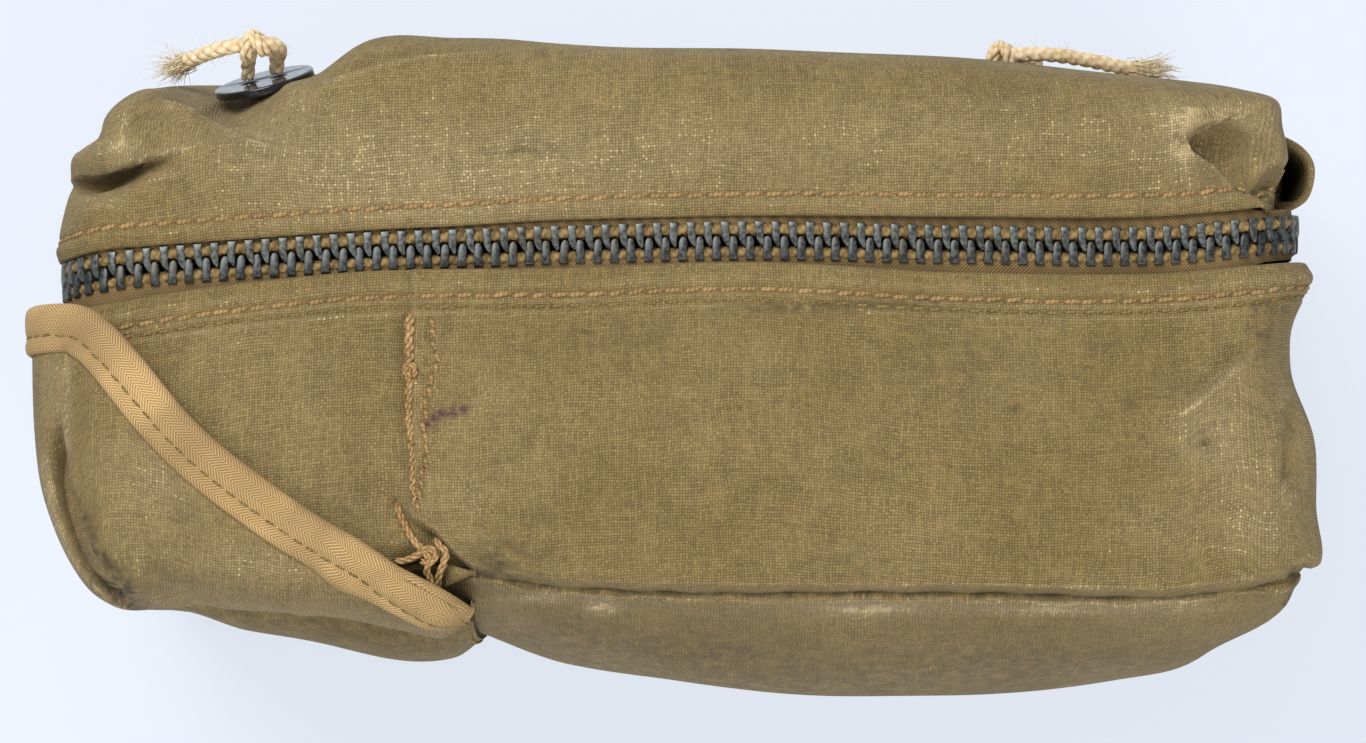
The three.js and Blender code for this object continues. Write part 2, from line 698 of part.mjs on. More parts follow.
function buildPocket() {
  const wallRows = POCKET_WALL_Z.length + POCKET_ARC_STEPS;
  const columns = [];
  for (let i = 0; i <= POCKET_COLUMNS; i += 1) columns.push(pocketColumn(i / POCKET_COLUMNS));
  const last = columns[POCKET_COLUMNS];
  const endColumns = pocketEnd(last.slice(wallRows - 1));
  columns[POCKET_COLUMNS] = [...endColumns[0], ...last.slice(wallRows)];

  const pocket = new Sheet();
  const frontGrid = columns.map((column) => pocket.add(column));
  frontGrid.slice(1).forEach((column, i) => pocket.join(column, frontGrid[i], false));
  const corner = frontGrid[POCKET_COLUMNS];
  const endGrid = endColumns.map((column, k) => {
    if (k === 0) return corner.slice(0, wallRows);
    return [...pocket.add(column.slice(0, -1)), corner[wallRows - 1 + k]];
  });
  endGrid.slice(1).forEach((column, k) => pocket.join(column, endGrid[k], false));
  flipped(pocket);
  const normals = pocket.normals();
  addPiece('end_pocket', pocket.solid(CANVAS, normals), colours.canvas);

  // Lines that run into the pocket from each place along its mouth, the mouth point first
  const rowCount = corner.length;
  const lines = [];
  for (let row = 0; row < wallRows; row += 1) {
    lines.push(endGrid.map((column) => column[row]).reverse());
  }
  for (let i = POCKET_COLUMNS - 1; i >= 0; i -= 1) {
    lines.push([...frontGrid[i]].reverse().slice(0, rowCount - 1));
  }
  buildBinding(pocket.points, normals, lines);
}

// The place a given distance along a line of pocket points, with the pocket's outward direction there
function alongLine(points, normals, line, distance) {
  let rest = distance;
  for (let i = 0; i < line.length - 1; i += 1) {
    const from = points[line[i]];
    const to = points[line[i + 1]];
    const length = from.distanceTo(to);
    if (rest <= length || i === line.length - 2) {
      const share = Math.min(rest / length, 1);
      return {
        point: from.clone().lerp(to, share),
        out: normals[line[i]].clone().lerp(normals[line[i + 1]], share).normalize(),
      };
    }
    rest -= length;
  }
  return null;
}

// Tape folded over the mouth edge: an outer leg, the fold and an inner leg
function buildBinding(points, normals, lines) {
  const outLow = BINDING_CLEAR;
  const outHigh = BINDING_CLEAR + BINDING_TAPE;
  const inHigh = -CANVAS - BINDING_CLEAR;
  const inLow = inHigh - BINDING_TAPE;
  const rings = lines.map((line, i) => {
    const mouth = points[line[0]];
    const before = points[lines[Math.max(i - 1, 0)][0]];
    const after = points[lines[Math.min(i + 1, lines.length - 1)][0]];
    const along = after.clone().sub(before).normalize();
    const inward = points[line[1]].clone().sub(mouth).normalize();
    const square = Math.sqrt(1 - along.dot(inward) ** 2);
    const toTip = (lines.length - 1 - i) / BINDING_TIP_LINES;
    const depth = BINDING_DEPTH * mix(BINDING_TIP_SHARE, 1, smooth(0, 1, toTip)) / Math.max(square, 0.5);
    const places = BINDING_STEPS.map((step) => alongLine(points, normals, line, step * depth));
    const leg = (height) => places.map(({ point, out }) => point.clone().addScaledVector(out, height));
    const edge = places[places.length - 1];
    const away = along.clone().cross(edge.out).normalize();
    if (away.dot(inward) > 0) away.negate();
    const fold = (reach, height) => (
      edge.point.clone().addScaledVector(away, reach).addScaledVector(edge.out, height)
    );
    const foldReach = BINDING_CLEAR + BINDING_TAPE;
    return [
      ...leg(outHigh),
      fold(foldReach, outLow),
      fold(foldReach, inHigh),
      ...leg(inLow).reverse(),
      ...leg(inHigh),
      fold(BINDING_CLEAR, inHigh),
      fold(BINDING_CLEAR, outLow),
      ...leg(outLow).reverse(),
    ];
  });
  const sides = rings[0].length;
  const flat = rings.flat();
  const faces = [];
  for (let i = 0; i < rings.length - 1; i += 1) {
    for (let j = 0; j < sides; j += 1) {
      const next = (j + 1) % sides;
      const [a, b] = [i * sides + j, i * sides + next];
      const [c, d] = [(i + 1) * sides + next, (i + 1) * sides + j];
      faces.push([a, c, b], [a, d, c]);
    }
  }
  // The two cut ends of the tape, as strips between its outer and inner side
  const half = sides / 2;
  for (const [first, turn] of [[0, false], [(rings.length - 1) * sides, true]]) {
    for (let j = 0; j < half - 1; j += 1) {
      const [a, b] = [first + j, first + j + 1];
      const [c, d] = [first + sides - 2 - j, first + sides - 1 - j];
      faces.push(...(turn ? [[a, c, b], [a, d, c]] : [[a, b, c], [a, c, d]]));
    }
  }
  addPiece('pocket_binding', solidFrom(flat, faces), colours.binding);
}

// Where a disc sits: on the lid face, square to it, clear of the highest cloth under it
function discFrame(x, z) {
  const surface = (px, pz) => push(new THREE.Vector3(px, lidFaceY(px, pz), pz), LID_DENTS);
  const middle = surface(x, z);
  const across = surface(x + 4, z).sub(surface(x - 4, z)).normalize();
  const up = surface(x, z + 4).sub(surface(x, z - 4)).normalize();
  const out = up.clone().cross(across).normalize();
  const level = out.clone().cross(up).normalize().negate();
  let lift = 0;
  for (let step = 0; step < 16; step += 1) {
    const angle = step / 16 * 2 * Math.PI;
    for (const radius of [DISC_RADIUS / 2, DISC_RADIUS]) {
      const spot = surface(x + radius * Math.cos(angle), z + radius * Math.sin(angle));
      lift = Math.max(lift, spot.sub(middle).dot(out));
    }
  }
  const seat = middle.clone().addScaledVector(out, lift + GAP + 0.5);
  return { seat, out, level, up };
}

function discMatrix(frame) {
  return new THREE.Matrix4().makeBasis(frame.level, frame.out.clone().cross(frame.level), frame.out)
    .setPosition(frame.seat);
}

function buildTie(name, x, z, route) {
  const frame = discFrame(x, z);
  const outline = new THREE.Shape();
  outline.absarc(0, 0, DISC_RADIUS, 0, 2 * Math.PI, false);
  for (const side of [-1, 1]) {
    const hole = new THREE.Path();
    hole.absarc(side * DISC_HOLE_OFFSET, 0, DISC_HOLE_RADIUS, 0, 2 * Math.PI, true);
    outline.holes.push(hole);
  }
  const disc = new THREE.ExtrudeGeometry(outline, {
    depth: DISC_THICKNESS, bevelEnabled: false, curveSegments: 7,
  });
  disc.applyMatrix4(discMatrix(frame));
  addPiece(`tie_disc_${name}`, disc, colours.disc);

  const start = frame.seat.clone()
    .addScaledVector(frame.level, -DISC_HOLE_OFFSET)
    .addScaledVector(frame.out, DISC_THICKNESS + GAP);
  const stations = route.map(({ along, out, up }) => start.clone()
    .add(new THREE.Vector3(along, 0, up))
    .addScaledVector(frame.out, out));
  const curve = new THREE.CatmullRomCurve3(stations);
  const section8 = new THREE.Shape();
  section8.absarc(0, 0, TWINE_RADIUS, 0, 2 * Math.PI, false);
  const twine = new THREE.ExtrudeGeometry(section8, {
    steps: 14, curveSegments: 4, bevelEnabled: false, extrudePath: curve,
  });
  addPiece(`tie_twine_${name}`, twine, colours.twine);
}

// Twine routes from a disc hole: along the case, out of the lid face and up
const LEFT_TWINE = [
  { along: 0, out: 0, up: 0 },
  { along: 0.4, out: 2.4, up: 0.4 },
  { along: 1.6, out: 4.2, up: 2.6 },
  { along: 0.2, out: 5.0, up: 5.6 },
  { along: -4.4, out: 4.8, up: 6.4 },
  { along: -8.6, out: 4.2, up: 5.2 },
  { along: -11.8, out: 3.6, up: 2.8 },
  { along: -14.4, out: 3.0, up: 0.0 },
  { along: -16.8, out: 2.4, up: -3.0 },
];
const RIGHT_TWINE = [
  { along: 0, out: 0, up: 0 },
  { along: -0.8, out: 1.8, up: 0.3 },
  { along: -5.0, out: 2.4, up: 1.0 },
  { along: -9.0, out: 2.2, up: 4.2 },
  { along: -5.0, out: 2.2, up: 6.8 },
  { along: 2.0, out: 2.2, up: 6.8 },
  { along: 9.0, out: 1.4, up: 5.0 },
  { along: 15.0, out: 0.4, up: 3.0 },
  { along: 20.0, out: 0.0, up: 0.0 },
];

buildBody();
buildLid();
buildZipTape('zip_tape_lid', 1);
buildZipTape('zip_tape_body', -1);
buildZipTeeth('zip_teeth_lid', 1, 0);
buildZipTeeth('zip_teeth_body', -1, 0.5);
buildSlider();
buildPocket();
buildTie('left', LEFT_DISC_X, LEFT_DISC_Z, LEFT_TWINE);
buildTie('right', RIGHT_DISC_X, RIGHT_DISC_Z, RIGHT_TWINE);

// The origin lies under the middle of the case.
for (const mesh of group.children) mesh.position.y = ZIP_BEHIND_ORIGIN;

export default group;
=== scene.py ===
"""Looks of a worn canvas first aid pouch, built over its solids in their own frame.

Sizes are in millimetres, with y measured from the middle of the zip, until a mesh is made.
"""

import math

import bpy
import numpy as np
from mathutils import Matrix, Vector
from mathutils.bvhtree import BVHTree


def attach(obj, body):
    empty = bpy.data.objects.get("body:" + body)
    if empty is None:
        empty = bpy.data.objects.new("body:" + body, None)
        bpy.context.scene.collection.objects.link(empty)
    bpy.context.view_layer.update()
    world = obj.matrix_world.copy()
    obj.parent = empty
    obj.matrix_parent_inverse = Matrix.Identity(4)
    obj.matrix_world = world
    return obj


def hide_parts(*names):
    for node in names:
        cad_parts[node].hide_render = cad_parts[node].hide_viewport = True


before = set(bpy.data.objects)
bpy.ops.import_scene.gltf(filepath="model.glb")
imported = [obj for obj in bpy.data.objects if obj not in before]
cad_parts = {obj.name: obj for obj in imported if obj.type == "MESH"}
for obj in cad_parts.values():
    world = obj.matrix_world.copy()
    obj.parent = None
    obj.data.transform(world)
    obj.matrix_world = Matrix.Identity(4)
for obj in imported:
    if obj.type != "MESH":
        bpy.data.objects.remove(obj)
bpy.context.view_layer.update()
dice = np.random.default_rng(11)

UP = np.array([0, 0, 1.0])
FULL_TURN = 2 * math.pi
QUARTER_TURN = math.pi / 2
MILLIMETRE = 0.001
TINY = 1e-9

# The case
HALF_LENGTH = 113.5
HEIGHT = 138.0
CORNER_RADIUS = 14.0
ZIP_BEHIND_ORIGIN = 22.0
SEAM_GAP = 0.02
SPINE_CLEAR = 0.5
SEAM_SINK = 3.2
SEAM_TUCK = 2.2
LID_FACE_INSET = 9.0
LID_FULL_DEPTH = 33.0
LID_SWELL = 2.5
HEM_ROLL = 0.75
HEM_DEPTH_ROW = 9
FOLD_EDGE = 0.5
THREAD_PITCH = 0.53
INNERMOST = 64.0
RIPPLE = {"gusset": 0.28, "front": 0.5, "lid": 0.3, "pocket": 0.22}

# The zip
ZIP_INSET = 2.3
ZIP_FOOT = 44.0
ZIP_RADIUS = CORNER_RADIUS - ZIP_INSET
ZIP_SIDE = HALF_LENGTH - CORNER_RADIUS
ZIP_SHOULDER = HEIGHT - CORNER_RADIUS
TAPE_FOOT = 20.0
SPINE_SEAM_TOP = 16.0
SLIDER_HEIGHT = 12.0
SLIDER_EDGE = 0.6
CHAIN_FEET = (ZIP_FOOT, ZIP_FOOT + SLIDER_HEIGHT)
TOOTH_PITCH = 3.05

# The end pocket
POCKET_SEAM_X = -38.0
POCKET_CORNER_X = -101.5
POCKET_FLOOR = 6.0
POCKET_END_FLOOR = 20.0
POCKET_SHOULDER_Z = 121.0
POCKET_SEWN = 2.8
POCKET_SLACK = 7.4
POCKET_TUCK = 8.0
POCKET_MOUTH_STAND = 3.7
BINDING_WIDTH = 7.4
BINDING_STEP = 0.8
INNER_LEG = 2.3
END_SQUARENESS = 0.5

# The ties
DISC_RADIUS = 9.3
DISC_THICKNESS = 1.6
DISC_HOLE_RADIUS = 1.6
DISC_HOLE_OFFSET = 2.7
TWINE_DIAMETER = 3.0
PLY_STEP = 0.45

# Stitch rows: distances from the hems, then for each kind its pitch and a stitch's length, width and lift
BODY_STITCHES = (4.3, 6.3)
LID_STITCH = 3.3
STITCHES = {
    "bold": (3.4, 3.6, 0.96, 0.13),
    "fine": (3.4, 3.0, 0.6, 0.12),
    "pocket": (3.4, 2.9, 0.55, 0.18),
    "binding": (2.9, 2.4, 0.55, 0.1),
    "lap": (2.1, 2.4, 0.95, 0.2),
}

# Where the lines that run along the case lie, seen from above
SECTION_X = [-114, -104, -96, -84, -70, -56, -41, -21, 14, 48, 84, 103, 114]
SECTION = {
    "lid_edge": [17, 23.5, 28.5, 26, 28.8, 37.4, 38.2, 37, 35.8, 33.7, 30.2, 28, 25.5],
    "lid_hem": [-3, -1.1, -0.4, 0.5, 1.5, 2.5, 3.2, 4.3, 5.1, 5, 4.9, 6.4, 7.6],
    "zip": [-7.4, -5.7, -4.7, -3.7, -2.7, -1.8, -1.3, -0.6, 0.2, -0.5, -0.8, 0.8, 2.4],
    "body_hem": [-13.2, -12, -10.6, -8.8, -7.2, -5.9, -5.7, -5.3, -4.3, -6.2, -6.5, -4.8, -3.2],
    "seam": [-58, -61, -62, -62, -61.5, -60.5, -59.5, -62, -63, -63, -63.5, -61.2, -57],
    "belly": [-56.5, -57.5, -58, -59.5, -61.5, -65, -69, -76, -80.5, -81.5, -79.5, -77, -68],
}

# From hem (share 0) to seam or face edge (share 1): how far the cloth lies inside the case outline
GUSSET_PROFILE = {
    "share": [0, 0.1, 0.4, 0.8, 0.975, 1],
    "inset": [0.6, 0, -1.4, -1.2, 0.1, SEAM_SINK],
    "floor": [0, 0, 0, 0, 0, 4],
}
LID_PROFILE = {
    "share": [0, 0.14, 0.5, 0.78, 0.93, 1],
    "inset": [0.6, 0, -0.8, 0.4, 3.4, LID_FACE_INSET],
    "floor": [0, 0, 0, 0, 1.5, 6],
}

# Dents and bulges: centre x y z, reach x y z, push x y z
BODY_DENTS = [
    (-55, -40, 138, 7, 20, 12, 0, 0, -3.5),
    (-47, -60, 134, 8, 6, 9, 0, 2, -4.0),
    (114, -23, 122, 12, 8.5, 26, -4, 0, -2.0),
    (-114, -62, 70, 9, 12, 140, 7, 0, 0),
    (-114, -34, 70, 12, 14, 140, 3.4, 0, 0),
    (20, -36, 138, 55, 18, 14, 0, 0, 1.6),
    (108, -66, 120, 9, 6, 34, 4.5, 0, 0),
    (112.5, -55.5, 122, 6, 5, 24, 2.2, -1.4, 0),
    (-9, -80, 112, 5, 8, 16, 0, 1.2, 0),
    (3, -82, 112, 5, 8, 16, 0, -0.9, 0),
    (113, -6, 126, 8, 4, 20, 1.8, 0, 0),
    (113, -15, 122, 9, 5, 24, -1.4, 0, 0),
    (-52, -45, 138, 4.5, 9, 12, 0, 0, -2.0),
]
LID_DENTS = [
    (-78, 26, 134, 15, 9, 14, 0, -2, -5.0),
    (-106, 12, 134, 9, 3.6, 12, 2.5, 0, -4.0),
    (-115, 21, 112, 9, 4.2, 30, 4.6, 0, 0),
    (-114, 8, 112, 9, 7, 34, 3, 0, 0),
    (-112, 17.5, 118, 8, 3, 24, -1.4, 0, 0),
    (-104, 25, 132, 8, 5, 14, -1, 1, 0),
    (100, 16, 136, 9, 5, 14, -2, 0, -6.0),
    (114, 20, 120, 9, 8, 20, -5, 0, 0),
    (114, 9, 126, 8, 5, 16, -3, 0, -1.0),
    (106, 25, 130, 6, 4, 12, 2, 0.5, 0),
]

# Folds seen from above: reach and depth of the cloth that sinks on the left of a line and on its right (depth
# less than nothing where it rises), the share of the line over which each end fades out, and the points x y
# of the line
BODY_FOLDS = [
    ((4, -0.8), (8, 2.2), (0.3, 0.4), [(104, -17.5), (97, -24), (88, -32)]),
    ((0.9, 2), (0.9, 2), (0, 0.4), [(113.5, -58.6), (111, -59.2), (108.5, -60)]),
    ((0.6, 0.5), (2, 1.3), (0.1, 0.05), [(-48.6, -12), (-48.6, -31), (-47.4, -48)]),
    ((0.7, 0.5), (0.7, 0.5), (0.05, 0.05), [(-44.2, -13), (-45.3, -30), (-46.4, -47)]),
    ((7, 0.7), (7, 0.7), (0.3, 0.5), [(-47.5, -22), (-35, -27), (-18, -29)]),
    ((3, -0.7), (2, -0.7), (0.2, 0.5), [(-40, -54), (-25, -58.5), (0, -59.5)]),
]
# Folds that sink straight down: the torn corner and the crease down the right end
DROPS = [
    ((1.5, -0.3), (2.7, 4.2), (0.5, 0.12),
     [(-50, -46.5), (-47.6, -50), (-44.6, -51.8), (-40.7, -55.9), (-36.6, -59.4)]),
    ((5, 3.7), (2, -0.4), (0.25, 0.35), [(110, -26), (108.2, -31), (107.4, -37), (107.8, -42), (109.4, -47)]),
]
LEFT_CORNER_LINE = [(-112, 11.4), (-105.5, 12), (-99.5, 13.2), (-93, 14.8), (-86, 16.8)]
LID_FOLDS = [
    ((4.2, -2.2), (2.0, 4.6), (0.25, 0.65), LEFT_CORNER_LINE),
    ((1.5, 1.4), (1.8, 1.4), (0, 0.6), [(-110, 18.5), (-106, 20), (-101.5, 22)]),
    ((4, 1.6), (4, 1.2), (0.1, 0.7), [(-86, 27), (-80, 22.5), (-72, 19), (-64, 16.5)]),
    ((2.5, 0.8), (4, -1.3), (0.2, 0.6), [(-95, 26.8), (-86, 22.8), (-78, 19.4), (-70, 16.5)]),
    ((6, -2.4), (6, -2.4), (0.35, 0.35), [(-82, 29.5), (-73, 29.5), (-66, 31)]),
    ((4, 1.2), (3, -0.5), (0.2, 0.4), [(-67, 28.4), (-56, 31.6), (-47, 33.8), (-30, 35)]),
    ((6.5, 4.6), (1.5, -0.5), (0.3, 0),
     [(90, 21), (92.3, 16.6), (96.4, 13.9), (99.1, 10.9), (101.6, 9.1), (107, 6.6)]),
    ((3, -1), (4, -1), (0.2, 0.2), [(103, 23), (107, 18), (108.5, 13)]),
]
PLEAT_LINE = [
    (-110.4, -28), (-110, -35.3), (-109, -42.5), (-107.2, -48.8), (-104.6, -56), (-100.2, -62.3), (-98, -66),
]
END_PLEAT = [((2, -0.8), (2.6, 12), (0.4, 0), PLEAT_LINE)]
POCKET_FOLDS = [
    ((0.7, 0.7), (0.7, 0.7), (0.05, 0.3), [(-109.4, -16.5), (-109.3, -35), (-108.6, -44)]),
    ((5, 0.9), (5, 0.9), (0.1, 0.6), [(-90, -66), (-86, -58), (-84, -50)]),
    ((5, -0.9), (4, -0.9), (0.1, 0.5), [(-72, -66), (-69, -60), (-67, -56)]),
]

# Rubbed and stained places on top of the case: centre x y, reach x y, strength
BODY_STAINS = [
    (-32, -58, 7, 4, 0.9), (-26, -50, 3, 2, 0.5), (93.5, -36.5, 1.6, 1.4, 0.9), (104, -16, 3, 3, 0.7),
    (20, -12, 14, 1.2, 0.8), (42, -11.2, 10, 0.9, 0.7), (75, -19, 2, 1.6, 0.7), (60, -30, 1.4, 1.2, 0.7),
    (80, -29, 1.6, 1.5, 0.6), (-10, -17, 12, 3, 0.35), (-2, -33, 3, 1.5, 0.5), (13, -45, 1.5, 1.2, 0.6),
    (-34, -41, 5, 4, 0.3), (50, -22, 16, 6, 0.3), (106, -12, 5, 1.5, 0.6), (30, -58, 9, 3, 0.3),
]
BODY_WEAR = [
    (92, -34, 9, 8, 0.55), (86, -52, 12, 8, 0.4), (98, -24, 7, 4, 0.25), (104, -52, 6, 5, 0.3),
    (104, -44, 10, 16, 0.45), (70, -61, 26, 2.5, 0.25), (50, -6, 30, 1.4, 0.15), (-38, -48, 5, 9, 0.3),
    (-72, -20, 22, 9, 0.3),
]
FRONT_STAINS = [(5, -74, 20, 5, 0.4), (60, -76, 25, 4, 0.4), (-20, -70, 12, 4, 0.3)]
FRONT_WEAR = [
    (40, -66, 60, 3, 0.25), (-14, -65.8, 3, 1.3, 1.2), (-27, -64, 9, 1, 0.8), (34, -66, 10, 1.3, 0.8),
    (66, -66, 14, 1.2, 0.7), (90, -65.5, 8, 1.6, 0.6), (-4, -78, 3, 2, 0.6), (-30, -70, 5, 3, 0.3),
]
LID_WEAR = [
    (90, 18.5, 3, 5, 0.75), (94, 23, 8, 2, 0.35), (-40, 12, 26, 9, 0.4), (0, 15, 30, 9, 0.35),
    (-100, 18, 5, 4, 0.25), (60, 20, 22, 8, 0.3), (-72, 14, 28, 12, 0.42), (92, 16, 20, 12, 0.38),
    (0, 20, 120, 16, 0.2), (0, 3, 130, 5, 0.18),
]
LID_STAINS = [
    (-28, 16, 7, 0.9, 0.7), (-24, 17.5, 4, 0.7, 0.5), (26, 14, 4, 3, 0.3), (-12, 13, 3, 1.2, 0.3),
    (55, 25, 10, 4, 0.25), (96, 12, 4, 3, 0.3), (20, 30, 20, 3, 0.25),
]
POCKET_WEAR = [(-92, -42, 8, 7, 0.35), (-75, -58, 14, 4, 0.3), (-112, -30, 2, 12, 0.4)]
POCKET_STAINS = [(-98, -60, 9, 6, 0.35), (-86, -50, 6, 5, 0.25)]
# Lines of marks, seen from above
INK_LINE = [(-45.5, -33.4), (-43, -31.2), (-38.6, -30.3)]
POCKET_RIM_LINE = [(-113.5, -40), (-112, -50), (-108, -59), (-101, -65.5)]
POCKET_SEAM_LINE = [(-109.4, -18), (-109.3, -37)]

# The slack fold that stands out from the right end of the lid, seen from above
END_FOLD = [
    (107, 22.5), (111.5, 20.6), (114.4, 18.2), (115.9, 15.3), (115.7, 11.5),
    (114.4, 8.6), (111.8, 7.6), (107, 8.2),
]
END_FOLD_MIDDLE = np.array([109.0, 14.0])

# The pocket mouth over the top of the case, from its tip to the left end
MOUTH_SHARE = [0, 0.05, 0.16, 0.36, 0.6, 0.85, 1]
MOUTH = {
    "x": [-37.8, -41, -51, -69, -86, -99, -107],
    "y": [-67.6, -65.2, -59.6, -48, -34.8, -19.6, -12.6],
    "stand": [1.2, 2.6, 3.7, 4, 5, 6.2, 4.8],
}
# The pocket over the left end, seen from above
END_SHARE = np.linspace(0, 1, 7)
END_PATH = {
    "x": [-101.5, -106.4, -110.8, -114.6, -116.3, -117.2, -117.4],
    "y": [-65.8, -62.4, -55.5, -45.5, -36, -25.5, -12.9],
}
# The outer leg of the mouth binding, from its inner edge to the fold: share of its width, lift off the pocket
BINDING_SHARE = [1, 0.985, 0.94, 0.84, 0.74, 0.64, 0.58, 0.52, 0.4, 0.22, 0.08, 0.0]
BINDING_LIFT = [0.15, 0.75, 1.1, 1.3, 1.28, 1.1, 0.82, 1.1, 1.28, 1.3, 1.25, 1.15]
BINDING_STITCH_COLUMN = 6

# The two rows of hand stitches down the lapped panel, seen from above
LAP_ROWS = {
    "left": [(-48.1, -13.2), (-47.9, -23.4), (-48.0, -32.1), (-47.7, -37.5), (-47.3, -44.3), (-46.7, -48)],
    "right": [(-44.3, -13.6), (-43.5, -22.5), (-44.3, -24.8), (-45.2, -28.8), (-45.5, -31.8), (-45.4, -38.9),
              (-46.2, -44.3), (-46.6, -49)],
}
# Loose ends at the torn seam corner: x, y and height over their lowest level
LOOSE_LEVEL = 134.6
LOOSE_STRANDS = [
    [(-51, -46.6, 1.6), (-49.6, -50.2, 1.8), (-47.8, -53.4, 2.0), (-45.8, -55.6, 3.0), (-44.6, -57.2, 3.2),
     (-45.3, -58.8, 2.6), (-44.4, -61.2, 1.6), (-43.6, -62.8, 0.0)],
    [(-50.7, -47.4, 1.0), (-49, -51.4, 1.2), (-47.2, -54.2, 1.6), (-45.6, -56.4, 2.2)],
    [(-51.2, -57.4, 1.2), (-49.2, -57.2, 1.5), (-47.2, -56.4, 2.4), (-45.6, -55.2, 3.4), (-44.2, -55.4, 3.6),
     (-43.8, -56.8, 3.2), (-45, -57.6, 2.8), (-46.4, -57.2, 2.4)],
    [(-44, -53.2, 1.6), (-42.9, -54.6, 2.4), (-41.8, -55.9, 2.6), (-42.4, -57.9, 2.4), (-43.2, -60.2, 1.8),
     (-43.4, -62.2, 0.4)],
]

# Zip halves: the side of the zip line they lie on, phase and height of the teeth, height of the bead
ZIP_HALVES = {"lid": (1, 0.0, 0.0, 0.1), "body": (-1, 0.5, -0.3, -0.35)}
# Zip tape from its inner edge: distance from the zip line, height
TAPE_SHAPE = [(0.9, -1.0), (1.5, -0.6), (2.2, -0.1), (3.2, 0.15), (4.2, 0.15), (5.6, 0.0), (7.4, -0.2)]
# A tooth seen from above: along the zip, away from the zip line
TOOTH_OUTLINES = {
    "lid": [(-0.82, 3.5), (0.82, 3.5), (0.76, 2.6), (0.72, 1.4), (0.76, 0.4), (0.8, -0.6), (0.66, -0.95),
            (0.38, -1.0), (-0.02, -0.62), (-0.42, 0.0), (-0.66, 0.6), (-0.72, 1.4), (-0.76, 2.6)],
    "body": [(-0.8, 3.4), (0.8, 3.4), (0.78, 2.0), (0.8, 0.8), (0.78, 0.1), (0.64, -0.45), (0.36, -0.8),
             (0, -0.92), (-0.36, -0.8), (-0.64, -0.45), (-0.78, 0.1), (-0.8, 0.8), (-0.78, 2.0)],
}
# Layers of a tooth from its base up: scale of the outline, height
TOOTH_LAYERS = [(1.0, -1.3), (1.0, 1.1), (0.9, 1.28), (0.76, 1.33)]

# Twine routes from a disc hole: along the case, out of the lid face and up
LEFT_TWINE = [
    (0, 0, 0), (0.4, 2.4, 0.4), (1.6, 4.2, 2.6), (0.2, 5, 5.6), (-4.4, 4.8, 6.4),
    (-8.6, 4.2, 5.2), (-11.8, 3.6, 2.8), (-14.4, 3, 0), (-16.8, 2.4, -3),
]
RIGHT_TWINE = [
    (0, 0, 0), (-0.8, 1.8, 0.3), (-5, 2.4, 1), (-9, 2.2, 4.2), (-5, 2.2, 6.8),
    (2, 2.2, 6.8), (9, 1.4, 5), (15, 0.4, 3), (20, 0, 0),
]

# Steps of the cloth meshes
RING_STEPS = {"top": 340, "bottom": 60, "corner": 14, "end": 50}
POCKET_STEPS = {"columns": 190, "wall": 70, "arc": 36, "top": 84}


def mix(first, second, share):
    return first + (second - first) * share


def smooth(low, high, value):
    share = np.clip((np.asarray(value, float) - low) / (high - low), 0, 1)
    return share * share * (3 - 2 * share)


def near(distance, reach):
    """One at no distance, running out beyond the reach."""
    return np.exp(-(distance / reach) ** 2)


def unit(vectors):
    return vectors / np.maximum(np.linalg.norm(vectors, axis=-1, keepdims=True), TINY)


def axes(points):
    """x, y and z apart."""
    return np.moveaxis(points, -1, 0)


def curve(keys, values, at):
    """Reads a smooth curve through a few points."""
    keys = np.asarray(keys, float)
    values = np.asarray(values, float)
    at = np.clip(at, keys[0], keys[-1])
    i = np.clip(np.searchsorted(keys, at, side="right") - 1, 0, len(keys) - 2)
    before = np.maximum(i - 1, 0)
    after = np.minimum(i + 2, len(keys) - 1)
    span = keys[i + 1] - keys[i]
    share = (at - keys[i]) / span
    rise = values[i + 1] - values[i]
    here = (values[i + 1] - values[before]) / (keys[i + 1] - keys[before]) * span
    there = (values[after] - values[i]) / (keys[after] - keys[i]) * span
    bend = 3 * rise - 2 * here - there
    twist = here + there - 2 * rise
    return values[i] + share * (here + share * (bend + share * twist))


def section(x, column):
    return curve(SECTION_X, SECTION[column], x)


def lengths_along(points):
    """How far each point of a line lies from its start."""
    steps = np.linalg.norm(np.diff(points, axis=0), axis=-1)
    return np.concatenate([np.zeros((1,) + steps.shape[1:]), np.cumsum(steps, axis=0)])


def read_line(at, along, points):
    """Points of a line at the given lengths."""
    return np.stack([np.interp(at, along, column) for column in points.T], -1)


def resampled(points, count):
    """The same line with evenly spaced points."""
    along = lengths_along(points)
    return read_line(np.linspace(0, along[-1], count), along, points)


def rounded_line(stations, count):
    """A smooth line through a few stations."""
    stations = np.asarray(stations, float)
    keys = np.sqrt(np.linalg.norm(np.diff(stations, axis=0), axis=1) + TINY)
    keys = np.concatenate([[0], np.cumsum(keys)])
    at = np.linspace(0, keys[-1], 12 * count)
    return resampled(np.stack([curve(keys, column, at) for column in stations.T], -1), count)


def evened(values, rounds):
    """Smooths a line, with its ends held."""
    values = values.copy()
    for _ in range(rounds):
        values[1:-1] = 0.5 * values[1:-1] + 0.25 * (values[2:] + values[:-2])
    return values


def metres(points):
    """From the working frame to the part's own frame."""
    moved = np.array(points, float)
    moved[..., 1] += ZIP_BEHIND_ORIGIN
    return moved * MILLIMETRE


# Materials


def colour(red, green, blue):
    """A colour picked on a screen, as the shader takes it."""
    parts = [value / 255 for value in (red, green, blue)]
    linear = [v / 12.92 if v <= 0.04045 else ((v + 0.055) / 1.055) ** 2.4 for v in parts]
    return (*linear, 1)


